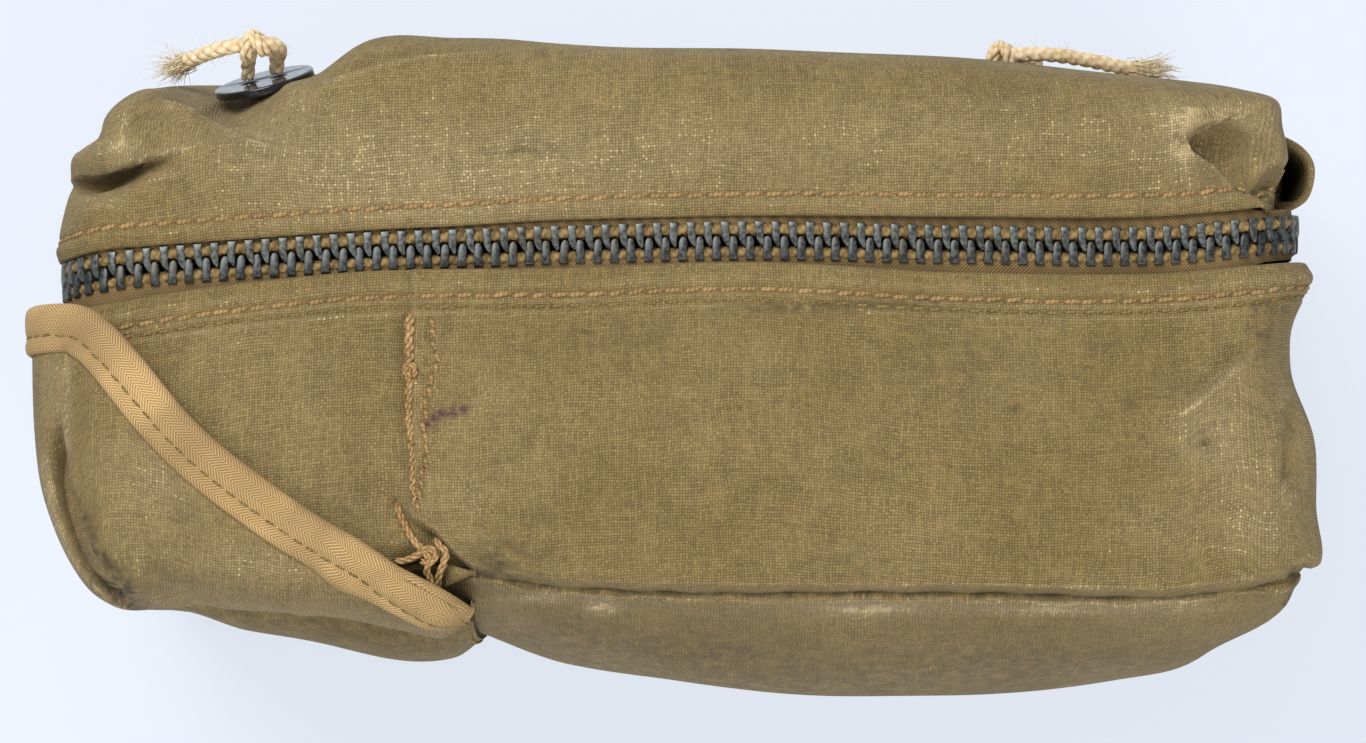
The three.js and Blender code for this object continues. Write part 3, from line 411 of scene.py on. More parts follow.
class Paint:
    """A material's node tree, built one node at a time."""

    def __init__(self, name, inputs):
        self.material = bpy.data.materials.new(name)
        self.material.use_nodes = True
        self.tree = self.material.node_tree
        self.shader = self.tree.nodes["Principled BSDF"]
        self.fill(self.shader, inputs)
        self.place = self.node("ShaderNodeTexCoord").outputs["Object"]

    def fill(self, node, inputs):
        for key, value in inputs.items():
            if isinstance(value, bpy.types.NodeSocket):
                self.tree.links.new(value, node.inputs[key])
            else:
                node.inputs[key].default_value = value

    def node(self, kind, inputs=None, **settings):
        made = self.tree.nodes.new(kind)
        for key, value in settings.items():
            setattr(made, key, value)
        self.fill(made, inputs or {})
        return made

    def math(self, operation, *values):
        return self.node("ShaderNodeMath", dict(enumerate(values)), operation=operation).outputs[0]

    def times(self, first, second):
        return self.math("MULTIPLY", first, second)

    def fitted(self, value, factor, offset):
        return self.math("MULTIPLY_ADD", value, factor, offset)

    def wave(self, turns):
        """From nothing to one and back in every turn."""
        return self.fitted(self.math("SINE", self.times(turns, FULL_TURN)), 0.5, 0.5)

    def mix(self, share, first, second, blend="MIX"):
        inputs = {0: share, 6: first, 7: second}
        return self.node("ShaderNodeMix", inputs, data_type="RGBA", blend_type=blend).outputs[2]

    def shaded(self, tone, grey):
        return self.mix(1.0, tone, self.joined(grey, grey, grey), "MULTIPLY")

    def ramp(self, value, low, high, first=0.0, second=1.0):
        """Goes smoothly from first to second as value passes from low to high."""
        inputs = {"Value": value, "From Min": low, "From Max": high, "To Min": first, "To Max": second}
        return self.node("ShaderNodeMapRange", inputs, interpolation_type="SMOOTHSTEP").outputs[0]

    def noise(self, scale, detail=2.0, vector=None):
        inputs = {"Vector": self.place if vector is None else vector, "Scale": scale, "Detail": detail}
        return self.node("ShaderNodeTexNoise", inputs).outputs[0]

    def weave(self):
        """The two directions along the cloth, in millimetres."""
        uv = self.node("ShaderNodeUVMap", uv_map="Weave").outputs[0]
        return self.node("ShaderNodeSeparateXYZ", {"Vector": uv}).outputs[:2]

    def mark(self, name):
        return self.node("ShaderNodeAttribute", attribute_name=name).outputs["Fac"]

    def joined(self, x, y, z):
        return self.node("ShaderNodeCombineXYZ", {"X": x, "Y": y, "Z": z}).outputs[0]

    def bump(self, height, strength, depth):
        inputs = {"Height": height, "Strength": strength, "Distance": depth * MILLIMETRE}
        self.fill(self.shader, {"Normal": self.node("ShaderNodeBump", inputs).outputs[0]})

    def finish(self, tone):
        self.fill(self.shader, {"Base Color": tone})
        return self.material


def canvas_paint():
    """Plain-weave canvas with uneven threads, rubbed ridges and smudges, and painted shade in the hollows of
    the weave and on marked creases and low places.
    """
    finish = {"Roughness": 0.9, "Specular IOR Level": 0.2, "Sheen Weight": 0.1, "Sheen Roughness": 0.5}
    paint = Paint("worn_canvas", finish)
    along, across = paint.weave()
    wander = paint.noise(120.0, 3.0)
    warp = paint.fitted(wander, 3.0, paint.math("DIVIDE", along, THREAD_PITCH))
    weft = paint.fitted(wander, -3.0, paint.math("DIVIDE", across, THREAD_PITCH))
    ridges = []
    streaks = []
    flecks = []
    for threads, other, seed in ((warp, weft, 3.7), (weft, warp, 41.3)):
        ridges.append(paint.math("SINE", paint.times(threads, math.pi)))
        row = paint.times(paint.math("FLOOR", threads), 5.73)
        streaks.append(paint.noise(1.0, 3.0, paint.joined(row, paint.times(other, 0.09), seed)))
        flecks.append(paint.noise(1.0, 2.0, paint.joined(row, paint.times(other, 0.34), seed + 7)))
    over = paint.ramp(paint.times(*ridges), -0.3, 0.3)
    shown = (over, paint.math("SUBTRACT", 1.0, over))
    lifts = [paint.times(paint.math("ABSOLUTE", ridges[i]), paint.fitted(shown[i], 0.7, 0.3)) for i in (0, 1)]
    height = paint.math("MAXIMUM", *lifts)
    streak, fleck = (
        paint.math("ADD", paint.times(pair[0], shown[0]), paint.times(pair[1], shown[1]))
        for pair in (streaks, flecks)
    )

    patch = paint.noise(130.0, 4.0)
    hue = paint.noise(330.0, 3.0)
    wear = paint.mark("wear")
    fading = paint.ramp(paint.noise(22.0, 3.0), 0.35, 0.68)
    tone = paint.mix(fading, colour(134, 115, 72), colour(146, 127, 85))
    tone = paint.mix(paint.ramp(patch, 0.5, 0.75, 0.0, 0.25), tone, colour(116, 99, 62))
    tone = paint.mix(paint.ramp(hue, 0.5, 0.75, 0.0, 0.3), tone, colour(120, 109, 63))
    tone = paint.mix(paint.ramp(hue, 0.5, 0.25, 0.0, 0.3), tone, colour(150, 122, 80))
    tone = paint.mix(paint.ramp(wear, 0.0, 1.0, 0.0, 0.55), tone, colour(176, 157, 120))
    rubbed = paint.times(paint.ramp(wear, 0.75, 1.0, 0.0, 0.75), paint.ramp(hue, 0.4, 0.6))
    tone = paint.mix(rubbed, tone, colour(214, 190, 142))
    shades = (paint.ramp(streak, 0.3, 0.7, 0.36, 0.64), paint.ramp(fleck, 0.3, 0.7, 0.34, 0.68))
    tone = paint.shaded(tone, paint.math("ADD", *shades))
    # Painted shade: the tone is darkened in the hollows between the threads, more where the weave shows
    # clearly.
    clear = paint.ramp(paint.noise(170.0), 0.35, 0.65, 0.75, 1.0)
    hollow_shade = paint.times(clear, paint.ramp(height, 0.8, 0.25, -0.08, 0.41))
    tone = paint.shaded(tone, paint.math("SUBTRACT", 1.0, hollow_shade))
    tone = paint.mix(paint.ramp(paint.noise(620.0), 0.68, 0.78, 0.0, 0.5), tone, colour(92, 78, 50))
    pale_from = paint.math("SUBTRACT", 0.79, paint.times(wear, 0.31))
    pale = paint.times(paint.math("GREATER_THAN", streak, pale_from), paint.ramp(height, 0.5, 0.9))
    pale = paint.times(pale, paint.ramp(fleck, 0.42, 0.56))
    tone = paint.mix(paint.times(pale, 0.66), tone, colour(220, 198, 150))
    # This mark carries real stains and also painted shade: creases, the pleat, the pocket's lower wall and
    # the lower front are darkened here with the same dark tone.
    smudge_and_shade = paint.times(paint.mark("stain"), paint.ramp(paint.noise(420.0, 4.0), 0.3, 0.65))
    tone = paint.mix(smudge_and_shade, tone, colour(84, 76, 54))
    ink = paint.times(paint.mark("ink"), paint.ramp(paint.noise(900.0, 3.0), 0.3, 0.6))
    tone = paint.mix(ink, tone, colour(92, 58, 66))
    relief = paint.math("ADD", paint.times(height, clear), paint.times(patch, 0.9))
    paint.bump(paint.fitted(fleck, 0.8, relief), 0.75, 0.24)
    return paint.finish(tone)


def tape_paint(name, low, high, rib, band, depth):
    """Ribbed tape whose slanting ribs turn back from band to band."""
    paint = Paint(name, {"Roughness": 0.86, "Specular IOR Level": 0.2})
    along, across = paint.weave()
    slant = paint.math("DIVIDE", paint.math("ADD", along, paint.math("PINGPONG", across, band)), rib)
    cross = paint.math("SINE", paint.times(across, FULL_TURN / 0.55))
    height = paint.fitted(cross, 0.18, paint.wave(slant))
    tone = paint.mix(paint.ramp(height, 0.1, 0.95), low, high)
    tone = paint.shaded(tone, paint.ramp(paint.noise(70.0, 4.0), 0.35, 0.7, 0.82, 1.12))
    tone = paint.mix(paint.times(paint.mark("stain"), 0.7), tone, colour(104, 90, 60))
    paint.bump(height, 0.7, depth)
    return paint.finish(tone)


def thread_paint(name, low, high, twist, start=0.4):
    """Spun thread: slanting plies, paler and darker stretches, and painted shade near its start, where it
    comes out of the cloth.
    """
    paint = Paint(name, {"Roughness": 0.8, "Specular IOR Level": 0.25})
    along, round_it = paint.weave()
    wave = paint.wave(paint.math("ADD", paint.math("DIVIDE", along, twist), round_it))
    stretch = paint.ramp(paint.noise(260.0, 3.0), 0.3, 0.7, 0.0, 0.45)
    tone = paint.mix(paint.fitted(wave, 0.55, stretch), low, high)
    # Painted shade: darker over its first millimetre, where it comes out of the cloth; start sets how dark it
    # gets there.
    tone = paint.shaded(tone, paint.ramp(along, 0.2, 0.9, start, 1.0))
    paint.bump(wave, 0.6, 0.15)
    return paint.finish(tone)


def metal_paint(name, low, high):
    """Dark oxidised metal, rubbed brighter in places and grimy in others."""
    paint = Paint(name, {"Roughness": 0.4, "Metallic": 0.8})
    grain = paint.noise(1400.0, 3.0)
    tone = paint.mix(paint.ramp(grain, 0.3, 0.7), low, high)
    tone = paint.mix(paint.ramp(paint.noise(160.0, 4.0), 0.52, 0.72, 0.0, 0.6), tone, colour(74, 64, 48))
    paint.fill(paint.shader, {"Roughness": paint.ramp(grain, 0.25, 0.75, 0.28, 0.55)})
    paint.bump(grain, 0.25, 0.05)
    return paint.finish(tone)


def disc_paint():
    """Glossy black moulding with fine scratches."""
    paint = Paint("gloss_black", {"Roughness": 0.16, "Coat Weight": 0.4, "Coat Roughness": 0.1})
    scuff = paint.noise(900.0, 5.0)
    paint.fill(paint.shader, {"Roughness": paint.ramp(scuff, 0.4, 0.75, 0.1, 0.34)})
    return paint.finish(paint.mix(paint.ramp(scuff, 0.55, 0.75), colour(18, 19, 23), colour(46, 47, 52)))


def floor_paint():
    """Pale sweep of paper, lit a little from within so that it stays bright."""
    glow = {"Emission Color": colour(236, 243, 255), "Emission Strength": 0.74}
    paint = Paint("pale_floor", {"Roughness": 0.9, "Specular IOR Level": 0.1, **glow})
    paper = paint.ramp(paint.noise(3.0), 0.3, 0.7)
    return paint.finish(paint.mix(paper, colour(120, 124, 130), colour(128, 132, 138)))


CANVAS = canvas_paint()
BINDING = tape_paint("tan_binding", colour(164, 132, 84), colour(218, 186, 134), 0.66, 2.0, 0.18)
ZIP_TAPE = tape_paint("brown_twill", colour(108, 88, 57), colour(140, 117, 80), 0.7, 40.0, 0.12)
STITCH = thread_paint("tan_thread", colour(121, 97, 60), colour(185, 153, 105), 0.9)
BEAD = thread_paint("golden_bead", colour(96, 78, 48), colour(164, 138, 92), 1.3)
OLIVE_STITCH = thread_paint("olive_thread", colour(104, 88, 50), colour(154, 131, 82), 0.9)
LOOSE = thread_paint("loose_thread", colour(138, 107, 66), colour(204, 170, 120), 1.4)
TWINE = thread_paint("cream_twine", colour(212, 180, 130), colour(250, 234, 202), 1.6)
# Frayed fibres: a paler copy of the twine colour, painted light for the light that passes through such thin
# fibres, with no painted shade at their roots.
FRAY = thread_paint("cream_fibre_painted_light", colour(236, 212, 170), colour(255, 242, 216), 1.6, 1.0)
# The body's row of teeth gets a darker copy of the same metal: painted shade, as that row faces down, away
# from the light.
METAL = {
    "lid": metal_paint("dark_metal", colour(74, 77, 75), colour(116, 119, 116)),
    "body": metal_paint("darker_metal_painted_shade", colour(56, 59, 58), colour(92, 95, 94)),
}
BLACK = disc_paint()


# Meshes


def numbered(points):
    """Numbers of the points, in the same rows."""
    return np.arange(points[..., 0].size).reshape(points.shape[:-1])


def wrapped(grid):
    """Rows that end where they began."""
    return np.concatenate([grid, grid[:, :1]], 1)


def cells(grid):
    """The four corners of every cell of a grid."""
    corners = [grid[:-1, :-1], grid[:-1, 1:], grid[1:, 1:], grid[1:, :-1]]
    return np.stack(corners, 2).reshape(-1, 4, *grid.shape[2:])


def spread(along, across):
    """Cloth directions at every point of a grid, from those of its rows and columns."""
    return np.stack(np.broadcast_arrays(along, across), -1)


class Pile:
    """Gathers points and faces for one piece, with the cloth directions at every corner."""

    def __init__(self):
        self.points = []
        self.faces = []
        self.corners = []
        self.marks = {"wear": [], "stain": [], "ink": []}
        self.count = 0

    def add(self, points, **marks):
        """Adds points and gives back their numbers, in the same rows."""
        index = numbered(points) + self.count
        self.count += index.size
        self.points.append(points.reshape(-1, 3))
        for name, gathered in self.marks.items():
            gathered.append(np.broadcast_to(marks.get(name, 0.0), index.shape).reshape(-1))
        return index

    def quads(self, index, uv, flip=False):
        """Joins rows of point numbers into faces."""
        order = -1 if flip else 1
        self.faces.extend(cells(index)[:, ::order].tolist())
        self.corners.append(cells(uv)[:, ::order].reshape(-1, 2))

    def polygon(self, index, uv):
        self.faces.append([int(i) for i in index])
        self.corners.append(uv)

    def tube(self, line, radius, sides, flatten=1.0, up=(0.13, 0.2, 0.97)):
        """A round strand along a line; its ends are closed by a radius that runs out."""
        tangents = unit(np.gradient(line, axis=0))
        first = np.asarray(up, float)
        normals = []
        for tangent in tangents:
            first = unit(first - tangent * (first @ tangent))
            normals.append(first)
        normals = np.array(normals)
        turn = np.linspace(0, FULL_TURN, sides, endpoint=False)[:, None]
        ring = normals[:, None] * np.cos(turn) * flatten + np.cross(tangents, normals)[:, None] * np.sin(turn)
        index = self.add(line[:, None] + ring * radius[:, None, None])
        self.quads(wrapped(index), spread(lengths_along(line)[:, None], np.linspace(0, 1, sides + 1)))

    def build(self, name, material, *nodes, slot=None):
        """Makes the object, seats it on the part and lets it stand for the named solids."""
        mesh = bpy.data.meshes.new(name)
        mesh.from_pydata(metres(np.concatenate(self.points)).tolist(), [], self.faces)
        layer = mesh.uv_layers.new(name="Weave")
        layer.uv.foreach_set("vector", np.concatenate(self.corners).astype(np.float32).ravel())
        for key, values in self.marks.items():
            mark = mesh.attributes.new(key, "FLOAT", "POINT")
            mark.data.foreach_set("value", np.clip(np.concatenate(values), 0, 1).astype(np.float32))
        mesh.shade_smooth()
        mesh.materials.append(material)
        made = bpy.data.objects.new(name, mesh)
        bpy.context.scene.collection.objects.link(made)
        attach(made, "root")
        if nodes:
            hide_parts(*nodes)
        return made


# Cloth shapes


def ring(inset, floor):
    """x and z round the case, clockwise seen from the front, from the middle of the spine."""
    length = HALF_LENGTH - inset
    top = HEIGHT - inset
    radius = min(max(CORNER_RADIUS - 0.5 * inset, 3), CORNER_RADIUS + 2)
    side = length - radius

    def line(start, end, steps):
        return mix(np.array(start), np.array(end), np.arange(steps)[:, None] / steps)

    def arc(x, z, turn):
        steps = RING_STEPS["corner"]
        angle = (turn - np.arange(steps) / steps) * QUARTER_TURN
        return np.stack([x + radius * np.cos(angle), z + radius * np.sin(angle)], 1)

    points = np.concatenate([
        line((-side, top), (side, top), RING_STEPS["top"]),
        arc(side, top - radius, 1),
        line((length, top - radius), (length, floor + radius), RING_STEPS["end"]),
        arc(side, floor + radius, 0),
        line((side, floor), (-side, floor), RING_STEPS["bottom"]),
        arc(-side, floor + radius, -1),
        line((-length, floor + radius), (-length, top - radius), RING_STEPS["end"]),
        arc(-side, top - radius, -2),
    ])
    spine = RING_STEPS["top"] + 2 * RING_STEPS["corner"] + RING_STEPS["end"] + RING_STEPS["bottom"] // 2
    return np.roll(points, -spine, axis=0)


def hem_y(x, z, column, at_spine):
    return mix(at_spine, section(x, column), smooth(SPINE_SEAM_TOP, ZIP_FOOT - 4, z))


def swell(x, z, edge):
    along = np.minimum(np.abs(x) / (HALF_LENGTH - edge), 1)
    upward = np.minimum(np.abs(z - HEIGHT / 2) / (HEIGHT / 2 - edge), 1)
    return (1 - along ** 16) * (1 - upward ** 2.6)


def seam_y(x, z):
    return section(x, "seam")


def front_y(x, z):
    return mix(seam_y(x, z), section(x, "belly"), swell(x, z, SEAM_SINK))


def lid_edge_y(x, z):
    edge = section(x, "lid_edge")
    return mix(np.minimum(LID_FULL_DEPTH, edge + 8), edge, smooth(HEIGHT - 75, HEIGHT - 12, z))


def lid_face_y(x, z):
    return lid_edge_y(x, z) + LID_SWELL * swell(x, z, LID_FACE_INSET)


def pushed(points, dents):
    moved = points.copy()
    for dent in np.array(dents, float):
        away = (points - dent[0:3]) / dent[3:6]
        moved += np.exp(-(away ** 2).sum(-1))[..., None] * dent[6:9]
    return moved


def near_path(points, path):
    """Distance to a line seen from above, on which side of it, and the share of its length."""
    path = np.array(path, float)
    starts = lengths_along(path)
    best = np.full(points.shape[:-1], np.inf)
    side = np.zeros_like(best)
    share = np.zeros_like(best)
    for i, step in enumerate(np.diff(path, axis=0)):
        size = np.linalg.norm(step)
        away = points[..., :2] - path[i]
        along = np.clip((away @ step) / size ** 2, 0, 1)
        miss = np.linalg.norm(away - along[..., None] * step, axis=-1)
        closer = miss < best
        best = np.where(closer, miss, best)
        side = np.where(closer, step[0] * away[..., 1] - step[1] * away[..., 0], side)
        share = np.where(closer, (starts[i] + along * size) / starts[-1], share)
    return best, side, share


def folded(points, normals, folds):
    """Sinks and lifts the cloth along its folds, on top of the case."""
    moved = points.copy()
    on_top = smooth(92, 116, points[..., 2])
    for left, right, (start, end), path in folds:
        miss, side, share = near_path(points, path)
        sinks = [depth * near(miss, reach) for reach, depth in (right, left)]
        amount = on_top * mix(*sinks, smooth(-FOLD_EDGE, FOLD_EDGE, np.sign(side) * miss))
        amount = amount * smooth(-1e-6, start + 1e-6, share) * (1 - smooth(1 - end - 1e-6, 1 + 1e-6, share))
        moved -= normals * amount[..., None]
    return moved


def rippled(points, normals, size):
    """Slack in the cloth: long shallow waves that cross each other."""
    x, y, z = axes(points)
    wave = np.sin(x / 19 + 1.7 * np.sin(z / 31 + y / 27)) + 0.7 * np.sin(z / 14 + x / 41 + 2.1)
    wave = wave + 0.5 * np.sin(y / 7 + x / 23 + 0.4) + 0.35 * np.sin(x / 6.3 + z / 9.1 + y / 8)
    return points + normals * (size * wave)[..., None]


def ring_normals(points, outward):
    round_it = np.roll(points, -1, axis=1) - np.roll(points, 1, axis=1)
    return outward * unit(np.cross(round_it, np.gradient(points, axis=0)))


def ridge_wear(points, normals):
    """How strongly the cloth bends outward, where it rubs."""
    bend = np.zeros(points.shape[:-1])
    round_it = (np.roll(points, -2, axis=1), np.roll(points, 2, axis=1), points, normals)
    inward = (points[4:], points[:-4], points[2:-2], normals[2:-2])
    for rows, (ahead, behind, here, out) in ((bend, round_it), (bend[2:-2], inward)):
        step = np.linalg.norm(ahead - here, axis=-1)
        rows -= ((ahead + behind - 2 * here) * out).sum(-1) / np.maximum(step, 0.4) ** 2
    return np.clip(bend * 1.5 - 0.15, 0, 0.4)


def spotted(points, spots):
    """Rubbed or stained places on top of the case."""
    amount = np.zeros(points.shape[:-1])
    for spot in np.array(spots, float):
        away = (points[..., :2] - spot[0:2]) / spot[2:4]
        amount = amount + spot[4] * np.exp(-(away ** 2).sum(-1))
    return amount * smooth(95, 118, points[..., 2])


def side_rows(profile, shares, column, at_spine, edge_y):
    """Rings from a hem to a seam or to the edge of a face."""
    rows = []
    for share in shares:
        inset, floor = (float(curve(profile["share"], profile[key], share)) for key in ("inset", "floor"))
        x, z = ring(inset, max(floor, 0)).T
        y = mix(hem_y(x, z, column, at_spine), edge_y(x, z), share)
        rows.append(np.stack([x, y, z], -1))
    return np.array(rows)


def face_rows(insets, surface_y):
    """Rings towards the middle of a big face, where the last is drawn in to a line."""
    rings = [ring(inset, max(inset - 2.5, 4)).T for inset in insets]
    x, z = rings[-1]
    rings.append((x, np.full_like(z, 0.5 * (z.min() + z.max()))))
    return np.array([np.stack([x, surface_y(x, z), z], -1) for x, z in rings])


def hem_rows(points, normals):
    """The hem folded under: from its underside round the rolled edge to the top."""
    toward_zip = unit(points[0] - points[1])
    opened = smooth(12, ZIP_FOOT - 4, points[0][:, 2])[:, None]
    rows = [points[HEM_DEPTH_ROW] - normals[HEM_DEPTH_ROW] * 2 * HEM_ROLL]
    for turn in np.radians([180, 150, 120, 90, 60, 30]):
        out = toward_zip * (HEM_ROLL * math.sin(turn)) * opened
        rows.append(points[0] + out + normals[0] * (HEM_ROLL * (math.cos(turn) - 1)))
    return np.array(rows)


def hem_puff(from_hem, rows_of_stitches):
    """The doubled hem swells between its edge and each row of stitches, which pull it down."""
    lift = 0.35 * near(from_hem - 0.5 * rows_of_stitches[0], 1.3)
    for row in rows_of_stitches:
        lift = lift - 0.5 * near(from_hem - row, 0.6)
    return lift


def gathers(phase, from_seam):
    """Small puckers along a seam."""
    return 0.14 * np.sin(phase) * near(from_seam, 4)


def settled(points):
    """Nothing reaches below the floor, and the spine lies flat on it."""
    flat = points.copy()
    flat[..., 2] = np.maximum(flat[..., 2], SPINE_CLEAR)
    return flat


def padded(values, before, after=0):
    """Marks of the cloth, with none on the hidden rows before and after it."""
    return np.pad(values, ((before, after), (0, 0)))


def ring_uv(points, reference):
    """Cloth directions of a band: round the case and away from its hem."""
    closed = wrapped(points)
    round_it = lengths_along(closed[reference])
    return spread(round_it - 0.5 * round_it[-1], lengths_along(closed))


def face_uv(points, edge_row, edge_length):
    """Cloth directions of a big face: along the case and down from its top edge."""
    x, _, z = axes(wrapped(points))
    top = edge_row[:, 2] > HEIGHT / 2
    order = np.argsort(edge_row[top][:, 0])
    edge_x, _, edge_z = edge_row[top][order].T
    start = np.interp(x, edge_x, edge_length[top][order])
    return spread(x, start + np.interp(x, edge_x, edge_z) - z)


def line_beside_hem(points, normals, from_hem, distance):
    """The line at one distance from the hem, down to the foot of the zip on both ends."""
    line, out = (
        np.array([read_line(distance, from_hem[:, i], values[:, i]) for i in range(points.shape[1])])
        for values in (points, normals)
    )
    above = line[:, 2] > ZIP_FOOT
    return line[above], unit(out[above])


def build_gusset():
    shares = np.concatenate([
        np.linspace(0, 0.16, 18, endpoint=False),
        np.linspace(0.16, 0.9, 64, endpoint=False),
        np.linspace(0.9, 1, 18),
    ])
    points = pushed(side_rows(GUSSET_PROFILE, shares, "body_hem", -SEAM_GAP, seam_y), BODY_DENTS)
    normals = ring_normals(points, -1)
    points = rippled(points, normals, RIPPLE["gusset"])
    points = folded(points, normals, BODY_FOLDS)
    points = folded(points, UP, DROPS)
    x, y, z = axes(points)
    # The lapped panel lies a little higher beside its seam
    lap = smooth(-48.7, -47.9, x) * (1 - smooth(-46, -18, x)) * smooth(-52, -47, y) * smooth(110, 125, z)
    from_hem = lengths_along(points)
    to_seam = from_hem[-1] - from_hem
    lift = lap + hem_puff(from_hem, BODY_STITCHES) + gathers(x / 1.9 + 0.8 * np.sin(x / 9), to_seam)
    points = settled(points + normals * lift[..., None])
    normals = ring_normals(points, -1)
    wear = ridge_wear(points, normals) * smooth(1, 4, to_seam) + spotted(points, BODY_WEAR)
    stain = spotted(points, BODY_STAINS) + 0.9 * near(to_seam, 0.8)
    ink = near(near_path(points, INK_LINE)[0], 0.9) * smooth(110, 125, points[..., 2])

    hem = hem_rows(points, normals)
    tucked = points[-1] - normals[-1] * SEAM_TUCK
    whole = settled(np.concatenate([hem, points, tucked[None]]))
    wear, stain, ink = (padded(values, len(hem), 1) for values in (wear, stain, ink))
    pile = Pile()
    index = pile.add(whole, wear=wear, stain=stain, ink=ink)
    pile.quads(wrapped(index), ring_uv(whole, len(hem) + 20), flip=True)
    pile.build("canvas_gusset", CANVAS, "body_gusset", slot="canvas")
    return points, normals, from_hem


def build_front():
    insets = np.concatenate([
        np.linspace(SEAM_SINK, SEAM_SINK + 2.4, 9, endpoint=False),
        np.linspace(SEAM_SINK + 2.4, 12, 8),
        np.linspace(13.5, INNERMOST, 34),
    ])
    points = pushed(face_rows(insets, front_y), BODY_DENTS)
    normals = ring_normals(points, -1)
    from_seam = lengths_along(points)
    points = rippled(points, normals, RIPPLE["front"] * smooth(0, 6, from_seam))
    lift = 1.1 * (1 - np.exp(-from_seam / 0.7)) * near(from_seam, 4.5)
    lift = lift + gathers(points[..., 0] / 2.1 + points[..., 2] / 2.3, from_seam)
    points = folded(points + normals * lift[..., None], UP, DROPS)
    tucked = points[0] - normals[0] * SEAM_TUCK
    whole = np.concatenate([tucked[None], points])
    wear = padded(ridge_wear(points, normals), 1) + spotted(whole, FRONT_WEAR)
    # Darker along the seam, away from the ends.
    darkening = 0.9 * near(from_seam, 0.7) * (1 - smooth(98, 106, np.abs(points[..., 0])))
    # Real stains, and painted shade that grows towards the bottom of the front, which faces down, away from
    # the light.
    stain = spotted(whole, FRONT_STAINS) + 0.5 * (1 - smooth(96, 128, whole[..., 2])) + padded(darkening, 1)
    pile = Pile()
    index = pile.add(whole, wear=wear, stain=stain)
    pile.quads(wrapped(index), face_uv(whole, points[0], np.zeros(points.shape[1])), flip=True)
    pile.build("canvas_front", CANVAS, "body_front", slot="canvas")


def build_lid():
    shares = np.concatenate([
        np.linspace(0, 0.2, 14, endpoint=False),
        np.linspace(0.2, 0.75, 30, endpoint=False),
        np.linspace(0.75, 1, 22),
    ])
    band = side_rows(LID_PROFILE, shares, "lid_hem", SEAM_GAP, lid_edge_y)
    insets = np.concatenate([np.linspace(LID_FACE_INSET + 0.8, 24, 18), np.linspace(25.5, INNERMOST, 22)])
    points = pushed(np.concatenate([band, face_rows(insets, lid_face_y)]), LID_DENTS)
    normals = ring_normals(points, 1)
    points = rippled(points, normals, RIPPLE["lid"])
    points = folded(points, normals, LID_FOLDS)
    from_hem = lengths_along(points)
    points = settled(points + normals * hem_puff(from_hem, (LID_STITCH,))[..., None])
    normals = ring_normals(points, 1)
    wear = ridge_wear(points, normals) * mix(0.25, 1.0, smooth(4, 8, from_hem)) + spotted(points, LID_WEAR)
    # Painted shade: the cloth is darkened along the crease under the left corner.
    crease = near(near_path(points, LEFT_CORNER_LINE)[0], 1.2) * smooth(-88, -98, points[..., 0])
    stain = spotted(points, LID_STAINS) + 0.5 * crease

    hem = hem_rows(points, normals)
    whole = settled(np.concatenate([hem, points]))
    pile = Pile()
    index = pile.add(whole, wear=padded(wear, len(hem)), stain=padded(stain, len(hem)))
    edge = len(hem) + len(shares) - 1
    band_uv = ring_uv(whole[:edge + 1], len(hem) + 8)
    pile.quads(wrapped(index[:edge + 1]), band_uv)
    pile.quads(wrapped(index[edge:]), face_uv(whole[edge:], whole[edge], band_uv[edge, :-1, 1]))
    add_end_fold(pile)
    pile.build("canvas_lid", CANVAS, "lid_cover", slot="canvas")
    return points, normals, from_hem


def add_end_fold(pile):
    """A slack fold of the lid that stands out from its right end like a shallow loop."""
    plan = rounded_line(END_FOLD, 40)
    inward = unit(END_FOLD_MIDDLE - plan)
    top = 112 + 8 * np.sin(np.linspace(0, math.pi, len(plan)))
    outer, inner = (
        np.array([
            np.column_stack([plan + inward * (wall + 5 * share ** 2), top - (top - 50) * share])
            for share in np.linspace(0, 1, 14)
        ])
        for wall in (0.0, 1.3)
    )
    edge = 0.5 * (outer[:1] + inner[:1]) + UP * 0.55
    sheet = np.concatenate([inner[::-1], edge, outer])
    index = pile.add(sheet, wear=0.35)
    pile.quads(index, spread(lengths_along(plan), lengths_along(sheet)), flip=True)


# The end pocket


def gusset_top_z(x, y):
    hem = section(x, "body_hem")
    share = np.clip((y - hem) / (section(x, "seam") - hem), 0, 1)
    inset = np.minimum(curve(GUSSET_PROFILE["share"], GUSSET_PROFILE["inset"], share), 1)
    over = np.clip(np.abs(x) - (HALF_LENGTH - CORNER_RADIUS), 0, CORNER_RADIUS)
    return HEIGHT - inset - CORNER_RADIUS + np.sqrt(CORNER_RADIUS ** 2 - over ** 2)


def pocket_stand(share, z):
    """How far the pocket stands off the front panel: slack, a full shoulder and a tuck below it."""
    off_middle = np.abs(2 * share - 1)
    height = np.clip((z - POCKET_FLOOR) / (HEIGHT - POCKET_FLOOR), 0, 1)
    slack = POCKET_SLACK * (1 - off_middle ** 4) * np.sin(math.pi * height) ** 1.5
    from_tip = smooth(0, 0.1, share)
    tip = 4.6 * near(share, 0.22) * mix(0.5, 1, from_tip)
    raised = mix(smooth(110, POCKET_SHOULDER_Z, z), smooth(96, POCKET_SHOULDER_Z - 4, z), from_tip)
    shoulder = (tip + 0.6 * smooth(0.05, 0.3, share)) * raised
    tuck = POCKET_TUCK * (1 - off_middle ** 6) * near(z - 107, 6.5)
    return mix(1.2, POCKET_SEWN, smooth(0, 0.08, share)) + slack + shoulder - tuck


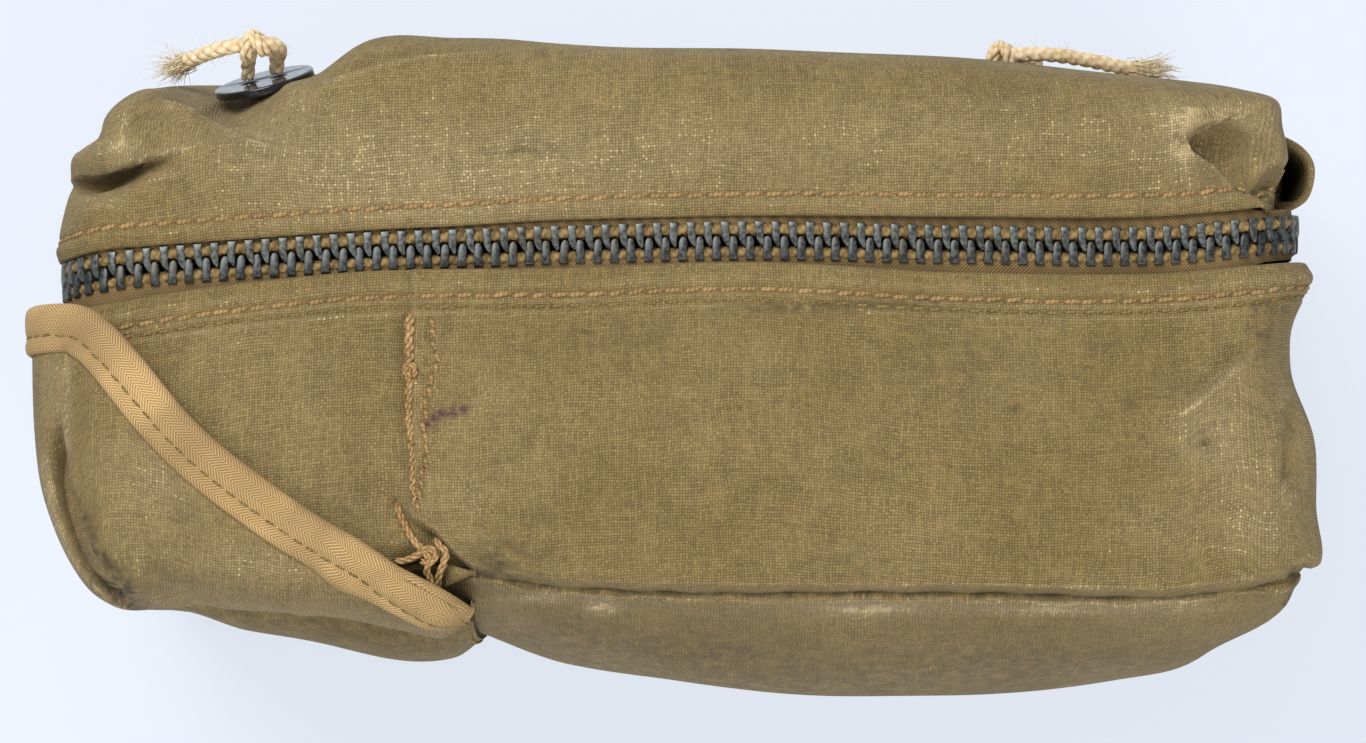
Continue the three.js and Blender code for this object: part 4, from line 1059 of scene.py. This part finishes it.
def pocket_columns():
    """Columns of the pocket from the floor up its wall, over the shoulder and on to its mouth."""
    share = np.linspace(0, 1, POCKET_STEPS["columns"] + 1)[:, None]
    x = mix(POCKET_SEAM_X, POCKET_CORNER_X, share)
    levels = np.linspace(POCKET_FLOOR, POCKET_SHOULDER_Z, POCKET_STEPS["wall"])
    wall_x, wall_z = np.broadcast_arrays(x, levels)
    wall_y = front_y(wall_x, wall_z) - pocket_stand(share, wall_z)
    wall_y = mix(wall_y, END_PATH["y"][0], smooth(0.7, 1, share))
    wall = np.stack([wall_x, wall_y, wall_z], -1)
    mouth_x, mouth_y, mouth_stand = (curve(MOUTH_SHARE, MOUTH[key], share) for key in ("x", "y", "stand"))
    shoulder_y = wall_y[:, -1:]
    reach = np.clip(0.75 * (mouth_y - shoulder_y), 0.5, 9)
    foot_x = mix(x, mouth_x, 0.15)
    foot_y = shoulder_y + reach
    foot_stand = mix(mouth_stand, POCKET_MOUTH_STAND, smooth(0, 0.14, share))
    foot_z = gusset_top_z(foot_x, foot_y) + foot_stand
    turn = np.linspace(0, QUARTER_TURN, POCKET_STEPS["arc"] + 1)[1:]
    arc = np.stack([
        mix(x, foot_x, turn / QUARTER_TURN),
        shoulder_y + reach * (1 - np.cos(turn)),
        mix(POCKET_SHOULDER_Z, foot_z, np.sin(turn)),
    ], -1)
    along = np.linspace(0, 1, POCKET_STEPS["top"] + 1)[1:]
    top_x = mix(foot_x, mouth_x, along)
    top_y = mix(foot_y, mouth_y, along)
    top = np.stack([top_x, top_y, gusset_top_z(top_x, top_y) + mix(foot_stand, mouth_stand, along)], -1)
    columns = np.concatenate([wall, arc, top], 1)
    # Over the shoulder the points are spaced evenly, except towards the left end
    for column, kept in zip(columns[:, POCKET_STEPS["wall"] - 1:], smooth(0.6, 1, share[:, 0])):
        run = lengths_along(column)
        column[:] = read_line(mix(np.linspace(0, run[-1], len(column)), run, kept), run, column)
    return columns


def pocket_end(crease):
    """Columns of the pocket over the left end, hung from the line where it turns down."""
    share = np.linspace(0, 1, len(crease))[:, None]
    x, y = (curve(END_SHARE, END_PATH[key], share) for key in ("x", "y"))
    floor = mix(POCKET_FLOOR, POCKET_END_FLOOR, smooth(0, 0.4, share))
    z = mix(floor, POCKET_SHOULDER_Z, np.linspace(0, 1, POCKET_STEPS["wall"]))
    wall = np.stack(np.broadcast_arrays(x, y, z), -1)
    turn = np.linspace(0, QUARTER_TURN, POCKET_STEPS["arc"] + 1)[1:]
    crease_x, crease_y, crease_z = crease.T[..., None]
    arc = np.stack([
        mix(x, crease_x, 1 - np.cos(turn)),
        mix(y, crease_y, 1 - np.cos(turn)),
        mix(POCKET_SHOULDER_Z, crease_z, np.sin(turn) ** END_SQUARENESS),
    ], -1)
    return np.concatenate([wall, arc], 1)


def face_normals(points, faces):
    sums = np.zeros_like(points)
    a, b, c, d = (points[faces[:, i]] for i in range(4))
    normal = unit(np.cross(c - a, d - b))
    for i in range(4):
        np.add.at(sums, faces[:, i], normal)
    return unit(sums)


def relaxed(points, faces, fixed, rounds):
    """Rounds off hard turns: every free point moves towards its neighbours."""
    pairs = np.concatenate([faces[:, [i, (i + 1) % 4]] for i in range(4)])
    pairs = np.concatenate([pairs, pairs[:, ::-1]])
    count = np.bincount(pairs[:, 0], minlength=len(points))[:, None]
    for _ in range(rounds):
        total = np.zeros_like(points)
        np.add.at(total, pairs[:, 0], points[pairs[:, 1]])
        points = np.where(fixed[:, None], points, mix(points, total / count, 0.6))
    return points


def build_pocket():
    columns = pocket_columns()
    turned = POCKET_STEPS["wall"] + POCKET_STEPS["arc"]
    end = pocket_end(columns[-1, turned - 1:])
    columns[-1, :turned] = end[0]
    front_index = numbered(columns)
    end_index = np.zeros(end.shape[:2], int)
    end_index[0] = front_index[-1, :turned]
    end_index[1:, :-1] = numbered(end[1:, :-1]) + front_index.size
    end_index[1:, -1] = front_index[-1, turned:]
    points = np.concatenate([columns.reshape(-1, 3), end[1:, :-1].reshape(-1, 3)])
    faces = np.concatenate([cells(front_index), cells(end_index)])

    fixed = np.zeros(len(points), bool)
    for edge in (front_index[0], front_index[:, 0], front_index[:, -1], end_index[:, 0], end_index[-1]):
        fixed[edge] = True
    points = relaxed(points, faces, fixed, 14)
    normals = face_normals(points, faces)
    points = rippled(points, normals, RIPPLE["pocket"])
    points = folded(points, normals, POCKET_FOLDS)
    points = folded(points, UP, END_PLEAT)
    normals = face_normals(points, faces)

    _, y, z = points.T
    lines = (POCKET_RIM_LINE, POCKET_SEAM_LINE, PLEAT_LINE)
    rim, seam, pleat = (near_path(points, line)[0] for line in lines)
    wear = 0.6 * (near(rim, 1.6) + near(seam, 0.9)) * smooth(80, 110, z)
    wear = wear + spotted(points, POCKET_WEAR) + 0.22 * smooth(118, 130, z)
    # Painted shade: darker in the pleat down the left end and on the lower wall under the shoulder, added to
    # the real stains.
    darkening = near(pleat * mix(1.6, 1, smooth(-40, -52, y)), 2.2) * smooth(98, 114, z) * smooth(-36, -54, y)
    stain = spotted(points, POCKET_STAINS) + 0.45 * (1 - smooth(98, 116, z)) + 1.4 * darkening

    pile = Pile()
    pile.add(points, wear=wear, stain=stain)
    path = lengths_along(points[end_index[:, 0]]) - POCKET_CORNER_X
    for index, along in ((front_index, -points[front_index][..., 0]), (end_index, path[:, None])):
        pile.quads(index, spread(along, lengths_along(points[index.T]).T))
    # The sewn edges turn in to meet the body
    edges = [(front_index[0], np.array([0.2, 0.9, -0.4]))]
    edges += [(edge, -normals[edge]) for edge in (front_index[::-1, 0], end_index[::-1, 0])]
    for edge, inward in edges:
        inside = pile.add(points[edge] + inward * (POCKET_SEWN + 0.6))
        pile.quads(np.stack([edge, inside]), spread(lengths_along(points[edge]), [[0], [POCKET_SEWN]]))
    pile.build("canvas_pocket", CANVAS, "end_pocket", slot="canvas")

    mouth = np.concatenate([end_index[-1], front_index[-2::-1, -1]])
    inside = [points[end_index[-9]]]
    for column in points[front_index[-2::-1, ::-1]]:
        inside.append(read_line([BINDING_WIDTH], lengths_along(column), column))
    build_binding(points, faces, points[mouth], np.concatenate(inside))
    return points, normals, front_index


def build_binding(points, faces, edge, inside):
    """Tape folded over the mouth: its outer leg, the fold and its inner leg."""
    tree = BVHTree.FromPolygons(points.tolist(), faces.tolist())
    along = lengths_along(edge)
    at = np.linspace(0, along[-1], int(along[-1] / BINDING_STEP))
    mouth = evened(read_line(at, along, edge), 16)
    toward = read_line(at, along, inside - edge)
    toward[-9:] = toward[-9]
    toward = evened(toward, 16)
    tangent = unit(np.gradient(mouth, axis=0))
    inward = unit(toward - tangent * (toward * tangent).sum(-1, keepdims=True))
    out = np.cross(tangent, inward)
    out = out * np.sign(out @ np.array([-0.6, -0.3, 0.74]))[:, None]
    width = BINDING_WIDTH * mix(0.4, 1, np.sqrt(smooth(-0.5, 6, at[-1] - at)))
    place = np.zeros((len(at), len(BINDING_SHARE), 3))
    face = np.zeros_like(place)
    for i in range(len(at)):
        for j, share in enumerate(BINDING_SHARE):
            spot, normal, _, _ = tree.find_nearest(Vector(mouth[i] + inward[i] * share * width[i]))
            place[i, j] = spot
            face[i, j] = np.array(normal) * np.sign(np.array(normal) @ out[i])
    place = evened(place, 10)
    face = unit(evened(face, 10))
    outer = place + face * np.array(BINDING_LIFT)[:, None]
    inner = (place - face * INNER_LEG)[:, ::-1][:, :9]
    fold = []
    for turn in np.radians([25, 50, 75, 100, 125, 150]):
        level = mix(-INNER_LEG, BINDING_LIFT[-1], 0.5 + 0.5 * math.cos(turn))
        fold.append(mouth - inward * (1.5 * math.sin(turn)) + out * level)
    rings = np.concatenate([outer, np.stack(fold, 1), inner], 1)
    # Grime on the tape, darker towards its tip and in bands along it.
    darkening = 0.6 * smooth(7, 0, at[-1] - at) + 0.25 * smooth(0.5, 0.9, np.sin(at / 9) ** 2)
    pile = Pile()
    index = pile.add(rings, stain=darkening[:, None])
    uv = spread(at[:, None], lengths_along(rings.transpose(1, 0, 2)).T)
    pile.quads(index, uv)
    pile.polygon(index[-1][::-1], uv[-1][::-1])
    pile.polygon(index[0], uv[0])
    pile.build("mouth_binding", BINDING, "pocket_binding", slot="binding_tape")
    sewn = (outer[:, BINDING_STITCH_COLUMN], face[:, BINDING_STITCH_COLUMN])
    stitch_row("binding_stitches", *sewn, OLIVE_STITCH, "binding")


# Stitches and threads


def add_stitch(pile, middle, direction, out, length, width, lift):
    """One stitch: a strand that rises out of the cloth and sinks back into it."""
    at = np.array([-1, -0.8, -0.4, 0, 0.4, 0.8, 1])
    line = middle + direction * (at[:, None] * length / 2) + out * (lift * (1 - 1.6 * at ** 2))[:, None]
    pile.tube(line, width / 2 * np.sqrt(1.02 - at ** 2), 6, 0.8, out)


def stitch_row(name, line, normals, material, kind, tilt=0.12, sway=0.0):
    """Stitches at an even pitch along a line on the cloth."""
    pitch, length, width, lift = STITCHES[kind]
    along = lengths_along(line)
    pile = Pile()
    for i in range(int(along[-1] / pitch)):
        at = (i + 0.5) * pitch + dice.normal(0, 0.05 * pitch)
        behind, middle, ahead = read_line([at - 0.6, at, at + 0.6], along, line)
        out = unit(read_line(at, along, normals))
        direction = unit(ahead - behind)
        sideways = np.cross(out, direction)
        direction = unit(direction + sideways * dice.normal(tilt, 0.05 + 0.3 * sway))
        middle = middle + sideways * dice.normal(0, 0.06 + sway)
        add_stitch(pile, middle, direction, out, length * dice.uniform(0.9, 1.06), width, lift)
    pile.build(name, material)


def dropped(tree, path, lift):
    """Points of a line seen from above, laid on the cloth below it."""
    places = []
    normals = []
    for x, y in path:
        spot, normal, _, _ = tree.ray_cast(Vector((x, y, 300)), Vector((0, 0, -1)))
        normal = np.array(normal if normal.z > 0 else -normal)
        places.append(np.array(spot) + normal * lift)
        normals.append(normal)
    return np.array(places), np.array(normals)


def add_plied(pile, line, thickness, plies, pitch, spacing=None, end=0.02, sides=6):
    """Strands twisted together into a thread; gives back the line they run round."""
    line = resampled(line, max(int(lengths_along(line)[-1] / PLY_STEP), 8))
    spacing = spacing or thickness * (0.25 if plies == 2 else 0.27)
    tangents = unit(np.gradient(line, axis=0))
    first = unit(np.cross(tangents, (0.3, 0.2, 0.93)))
    second = np.cross(tangents, first)
    radius = np.full(len(line), thickness / 2 - spacing)
    radius[[0, -1]] = end
    for k in range(plies):
        phase = (lengths_along(line) / pitch + k / plies)[:, None] * FULL_TURN
        pile.tube(line + spacing * (first * np.cos(phase) + second * np.sin(phase)), radius, sides)
    return line


def add_fibres(pile, start, direction, count, length, scatter, radius, girth=0.35):
    """Loose fibres that fan out of a frayed end of the given girth."""
    at = np.linspace(0, 1, 6)[:, None]
    for _ in range(count):
        aim = unit(direction + dice.normal(0, scatter, 3))
        bend = dice.normal(0, scatter, 3)
        reach = length * dice.uniform(0.45, 1.1)
        line = start + dice.normal(0, girth, 3) + aim * reach * at + bend * reach * at ** 2
        pile.tube(line, np.linspace(radius, radius * 0.35, 6), 4)


def build_lap_seam(cloth):
    """The two rows of thick hand stitches down the lapped panel, and the loose ends at its foot."""
    faces = cells(wrapped(numbered(cloth)))
    tree = BVHTree.FromPolygons(cloth.reshape(-1, 3).tolist(), faces.tolist())
    line, _ = dropped(tree, rounded_line(LAP_ROWS["left"], 70), 0.5)
    line = line + np.stack([0.18 * np.sin(np.arange(70) * 1.3), np.zeros(70), np.linspace(0, -0.5, 70)], 1)
    cord = Pile()
    add_plied(cord, line[:22], 1.8, 3, 5.0)
    add_plied(cord, line[20:46], 1.35, 3, 4.0)
    add_plied(cord, line[44:], 1.1, 2, 3.0)
    knot = line[20]
    for turn in (0.4, 1.9, 3.3):
        bend = np.array([math.cos(turn), math.sin(turn), 0])
        aside = np.array([-bend[1], bend[0], 0])
        loop = [knot - aside * 1.5, knot + bend * 0.9 + UP * 0.9, knot + aside * 1.5]
        add_plied(cord, rounded_line(loop, 14), 1.3, 2, 2.4)
    cord.build("lap_cord", LOOSE)
    row = dropped(tree, rounded_line(LAP_ROWS["right"], 60), 0.1)
    stitch_row("lap_stitches", *row, STITCH, "lap", 0.3, 0.1)
    pile = Pile()
    for strand in LOOSE_STRANDS:
        add_plied(pile, rounded_line(np.array(strand) + UP * LOOSE_LEVEL, 40), 1.45, 3, 5.0)
    for start, aim in (((-51, -46.6, 136), (-0.5, 0.8, 0.3)), ((-51.2, -57.4, 135.6), (-0.9, 0, 0.3))):
        add_fibres(pile, np.array(start), np.array(aim), 14, 2.4, 0.35, 0.07)
    for _ in range(70):
        spot = (dice.uniform(-48.6, -43.6), dice.uniform(-48, -14))
        places = dropped(tree, [spot], 0.1)[0]
        add_fibres(pile, places[0], np.array([0, 0.2, 0.5]), 1, 1.6, 0.9, 0.05)
    pile.build("loose_thread", LOOSE)
    build_tuck()


def build_tuck():
    """A corner of canvas tucked out of the torn seam."""
    across = np.linspace(0, 1, 10)[:, None]
    along = np.linspace(0, 1, 12)
    left = mix(np.array([-43.0, -57.4, 134.8]), np.array([-42.4, -62.2, 133.4]), across[..., None])
    sheet = mix(left, np.array([-36.4, -59.3, 135.6]), (along ** 0.9)[:, None])
    sheet = sheet + UP * (np.sin(math.pi * across) * np.sin(math.pi * along))[..., None]
    pile = Pile()
    index = pile.add(sheet, wear=0.15)
    pile.quads(index, spread(along * 7, across * 5), flip=True)
    made = pile.build("seam_tuck", CANVAS, slot="canvas")
    made.modifiers.new("wall", "SOLIDIFY").thickness = 0.9 * MILLIMETRE


# The zip


def zip_legs(left_foot, right_foot):
    """Lengths along the zip to the end of each leg: up, round a corner, across, round a corner, down."""
    corner = ZIP_RADIUS * QUARTER_TURN
    return np.cumsum([ZIP_SHOULDER - left_foot, corner, 2 * ZIP_SIDE, corner, ZIP_SHOULDER - right_foot])


def zip_places(distance, left_foot, right_foot):
    """Points along the zip line and the way out of the case there."""
    legs = zip_legs(left_foot, right_foot)
    at = np.clip(distance, 0, legs[-1])
    turn = QUARTER_TURN * (np.interp(at, legs[:2], [2, 1]) - np.interp(at, legs[2:4], [0, 1]))
    out = np.stack([np.cos(turn), np.zeros_like(at), np.sin(turn)], -1)
    x = np.interp(at, legs[1:3], [-ZIP_SIDE, ZIP_SIDE]) + ZIP_RADIUS * out[:, 0]
    rise = np.minimum(left_foot + at, ZIP_SHOULDER) - np.maximum(at - legs[3], 0)
    return np.stack([x, section(x, "zip"), rise + ZIP_RADIUS * out[:, 2]], -1), out


def zip_line(count, *feet):
    return zip_places(np.linspace(0, zip_legs(*feet)[-1], count), *feet)


def build_zip_half(name):
    """One half of the zip: its tape, the beaded edge of the tape and its row of teeth."""
    side, phase, tooth_height, bead_height = ZIP_HALVES[name]
    aside = np.array([0, side, 0.0])
    middle, out = zip_line(420, TAPE_FOOT, TAPE_FOOT)
    narrow = mix(1, 0.62, smooth(94, 106, middle[:, :1]))
    strip = np.stack([middle + aside * across * narrow + out * up for across, up in TAPE_SHAPE])
    tape = Pile()
    uv = spread(lengths_along(middle), np.array(TAPE_SHAPE)[:, :1])
    tape.quads(tape.add(strip), uv, flip=side < 0)
    tape.build("tape_" + name, ZIP_TAPE, "zip_tape_" + name, slot="zip_tape")

    middle, out = zip_line(500, *CHAIN_FEET)
    bead = Pile()
    add_plied(bead, middle + aside * 2.1 + out * bead_height, 2.16, 2, 2.2, 0.34, 0.74)
    bead.build("bead_" + name, BEAD)

    count = int((zip_legs(*CHAIN_FEET)[-1] - TOOTH_PITCH) / TOOTH_PITCH)
    at = (np.arange(count) + 0.5 + phase) * TOOTH_PITCH
    middle, out = zip_places(at, *CHAIN_FEET)
    along = unit(zip_places(at + 0.2, *CHAIN_FEET)[0] - zip_places(at - 0.2, *CHAIN_FEET)[0])
    outline = np.array(TOOTH_OUTLINES[name])
    centre = np.array([0.0, 1.3])
    uv = np.zeros((len(TOOTH_LAYERS), len(outline) + 1, 2))
    teeth = Pile()
    for i in range(count):
        rise = dice.normal(tooth_height, 0.07)
        lean = dice.normal(0.02, 0.03)
        rings = []
        for scale, up in TOOTH_LAYERS:
            flat = centre + (outline - centre) * np.array([scale, mix(1, scale, 0.45)])
            forward, away = flat.T[..., None]
            forward = forward + lean * (3.5 - away)
            # Both the clamped foot of a tooth and its nose dip below its back
            height = up + rise - 0.1 * np.clip(away - 2.4, 0, 2) - 0.2 * smooth(0.9, -0.9, away)
            rings.append(middle[i] + forward * along[i] + away * aside + height * out[i])
        index = teeth.add(np.array(rings))
        teeth.quads(wrapped(index), uv, flip=side < 0)
        teeth.polygon(index[-1][::side], uv[0, 1:])
        teeth.polygon(index[0][::-side], uv[0, 1:])
    made = teeth.build("teeth_" + name, METAL[name], "zip_teeth_" + name, slot="zip_metal")
    made.data.set_sharp_from_angle(angle=math.radians(28))


def dress_slider():
    """The slider keeps its solid, with softened edges."""
    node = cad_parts["zip_slider"]
    node.data.materials.clear()
    node.data.materials.append(METAL["lid"])
    bevel = node.modifiers.new("soft_edges", "BEVEL")
    bevel.width = SLIDER_EDGE * MILLIMETRE
    bevel.segments = 3


# The ties


def disc_place(name):
    """Middle of a disc's solid, its way out of the lid and its level direction."""
    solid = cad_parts["tie_disc_" + name].data
    corners = np.array([vertex.co for vertex in solid.vertices]) / MILLIMETRE
    corners[:, 1] -= ZIP_BEHIND_ORIGIN
    middle = 0.5 * (corners.min(0) + corners.max(0))
    _, _, spans = np.linalg.svd(corners - corners.mean(0), full_matrices=False)
    out = spans[2] * np.sign(spans[2][1])
    level = np.array([1.0, 0, 0])
    return middle, out, unit(level - out * (level @ out))


def build_disc(name):
    """A black disc with a rounded rim and two holes."""
    middle, out, level = disc_place(name)
    shape = bpy.data.curves.new("disc_outline_" + name, "CURVE")
    shape.dimensions = "2D"
    shape.fill_mode = "BOTH"
    shape.extrude = 0.42 * MILLIMETRE
    shape.bevel_depth = 0.38 * MILLIMETRE
    shape.bevel_resolution = 4
    circles = [(0, DISC_RADIUS - 0.4, 72)]
    circles += [(side * DISC_HOLE_OFFSET, DISC_HOLE_RADIUS + 0.35, 28) for side in (-1, 1)]
    for offset, radius, count in circles:
        spline = shape.splines.new("POLY")
        spline.points.add(count - 1)
        spline.use_cyclic_u = True
        for i, point in enumerate(spline.points):
            turn = FULL_TURN * i / count
            across = offset + radius * math.cos(turn)
            point.co = (across * MILLIMETRE, radius * math.sin(turn) * MILLIMETRE, 0, 1)
    drawn = bpy.data.objects.new("disc_outline_" + name, shape)
    bpy.context.scene.collection.objects.link(drawn)
    bpy.context.view_layer.update()
    flat = bpy.data.meshes.new_from_object(drawn.evaluated_get(bpy.context.evaluated_depsgraph_get()))
    bpy.data.objects.remove(drawn)
    local = np.array([vertex.co for vertex in flat.vertices]) / MILLIMETRE
    dish = 0.25 * np.clip(1 - (np.hypot(local[:, 0], local[:, 1]) / 7) ** 2, 0, 1) * np.sign(local[:, 2])
    local[:, 2] -= dish
    pile = Pile()
    pile.add(middle + local @ np.array([level, np.cross(out, level), out]))
    for polygon in flat.polygons:
        corners = list(polygon.vertices)
        pile.polygon(corners, local[corners, :2])
    bpy.data.meshes.remove(flat)
    made = pile.build("disc_" + name, BLACK, "tie_disc_" + name, slot="black_disc")
    made.data.shade_flat()
    made.data.set_sharp_from_angle(angle=math.radians(50))
    for polygon in made.data.polygons:
        polygon.use_smooth = True
    return middle, out, level


def build_tie(name, route):
    """A disc and the twine through it, knotted on top and frayed at its end."""
    middle, out, level = build_disc(name)
    hole = middle + out * (0.5 * DISC_THICKNESS + 0.3)
    start = hole + level * DISC_HOLE_OFFSET
    stations = [start + np.array([along, 0, up]) + out * away for along, away, up in route]
    cord = Pile()
    line = add_plied(cord, rounded_line(stations, 90), TWINE_DIAMETER, 3, 7.0, 0.62, 0.05, 8)
    made = cord.build("twine_" + name, TWINE, "tie_twine_" + name, slot="twine")

    extras = Pile()
    other = hole - level * DISC_HOLE_OFFSET
    knot = 0.5 * (stations[3] + stations[4])
    second = [other, other + out * 2.4 + level * 0.4, mix(other, knot, 0.6) + out * 2.2, knot - level * 1.5]
    add_plied(extras, rounded_line(second, 40), TWINE_DIAMETER - 0.2, 3, 6.5)
    around = np.linspace(0, 2.3 * FULL_TURN, 70)[:, None]
    upward = np.cross(level, out)
    coil = (knot - level * 0.6 + level * (np.sin(around * 0.5) * 1.8)
            + out * (np.cos(around) * 1.7) + upward * (np.sin(around) * 2.2))
    add_plied(extras, coil, TWINE_DIAMETER - 0.5, 3, 6.5)
    knotted = extras.build("twine_knot_" + name, TWINE, slot="twine")

    aim = unit(line[-1] - line[-6])
    fibres = Pile()
    add_fibres(fibres, line[-1] - aim * 2.5, aim, 260, 8.5, 0.11, 0.13, 0.6)
    add_fibres(fibres, line[-1] - aim * 1.5, aim, 120, 7.5, 0.22, 0.08, 0.7)
    add_fibres(fibres, knot, out, 10, 2.4, 0.7, 0.05)
    for spot in line[6::3]:
        add_fibres(fibres, spot, dice.normal(0, 1, 3), 4, 2.2, 0.6, 0.045)
    frayed = fibres.build("twine_fray_" + name, FRAY, slot="twine")
    metres(line[0]).tolist()
    metres(line).tolist()


# Camera and light


def build_stage():
    scene = bpy.context.scene
    camera = bpy.data.cameras.new("camera")
    camera.sensor_width = 36.0
    camera.lens = 132.8
    camera.clip_start = 0.01
    view = bpy.data.objects.new("camera", camera)
    scene.collection.objects.link(view)
    target = Vector((0.0005, -0.0015, 0.139))
    tilt = math.radians(87)
    view.location = target + Vector((0, -math.cos(tilt), math.sin(tilt))) * 0.9
    view.rotation_euler = (QUARTER_TURN - tilt, 0, 0)
    scene.camera = view

    mesh = bpy.data.meshes.new("floor")
    size = 4.0
    corners = [(-size, -size, 0), (size, -size, 0), (size, size, 0), (-size, size, 0)]
    mesh.from_pydata(corners, [], [(0, 1, 2, 3)])
    mesh.materials.append(floor_paint())
    floor = bpy.data.objects.new("floor", mesh)
    scene.collection.objects.link(floor)

    scene.world = bpy.data.worlds.new("studio")
    scene.world.use_nodes = True
    sky = scene.world.node_tree.nodes["Background"]
    sky.inputs["Color"].default_value = (0.92, 0.95, 1.0, 1)
    sky.inputs["Strength"].default_value = 0.4
    lamps = [
        ("key", (-0.45, 0.7, 1.3), 0.8, 18.0, (1.0, 0.98, 0.95)),
        ("fill", (0.45, -1.0, 0.95), 1.0, 10.5, (1.0, 0.94, 0.85)),
    ]
    for name, place, width, power, tint in lamps:
        lamp = bpy.data.lights.new(name, "AREA")
        lamp.size = width
        lamp.energy = power
        lamp.color = tint
        made = bpy.data.objects.new(name, lamp)
        made.location = place
        made.rotation_euler = (Vector((0, 0, 0.1)) - Vector(place)).to_track_quat("-Z", "Y").to_euler()
        scene.collection.objects.link(made)
    scene.view_settings.view_transform = "Standard"


build_stage()
build_tie("left", LEFT_TWINE)
build_tie("right", RIGHT_TWINE)
gusset = build_gusset()
build_front()
lid = build_lid()
pocket, pocket_normals, pocket_front = build_pocket()
build_zip_half("lid")
build_zip_half("body")
dress_slider()

hem_stitches = [
    ("body_stitches_1", gusset, BODY_STITCHES[0], STITCH, "bold"),
    ("body_stitches_2", gusset, BODY_STITCHES[1], OLIVE_STITCH, "fine"),
    ("lid_stitches", lid, LID_STITCH, STITCH, "bold"),
]
for name, cloth, distance, thread, kind in hem_stitches:
    stitch_row(name, *line_beside_hem(*cloth, distance), thread, kind)
build_lap_seam(gusset[0])
sewn = pocket_front[3, 2:POCKET_STEPS["wall"]]
stitch_row("pocket_stitches", pocket[sewn], pocket_normals[sewn], OLIVE_STITCH, "pocket")
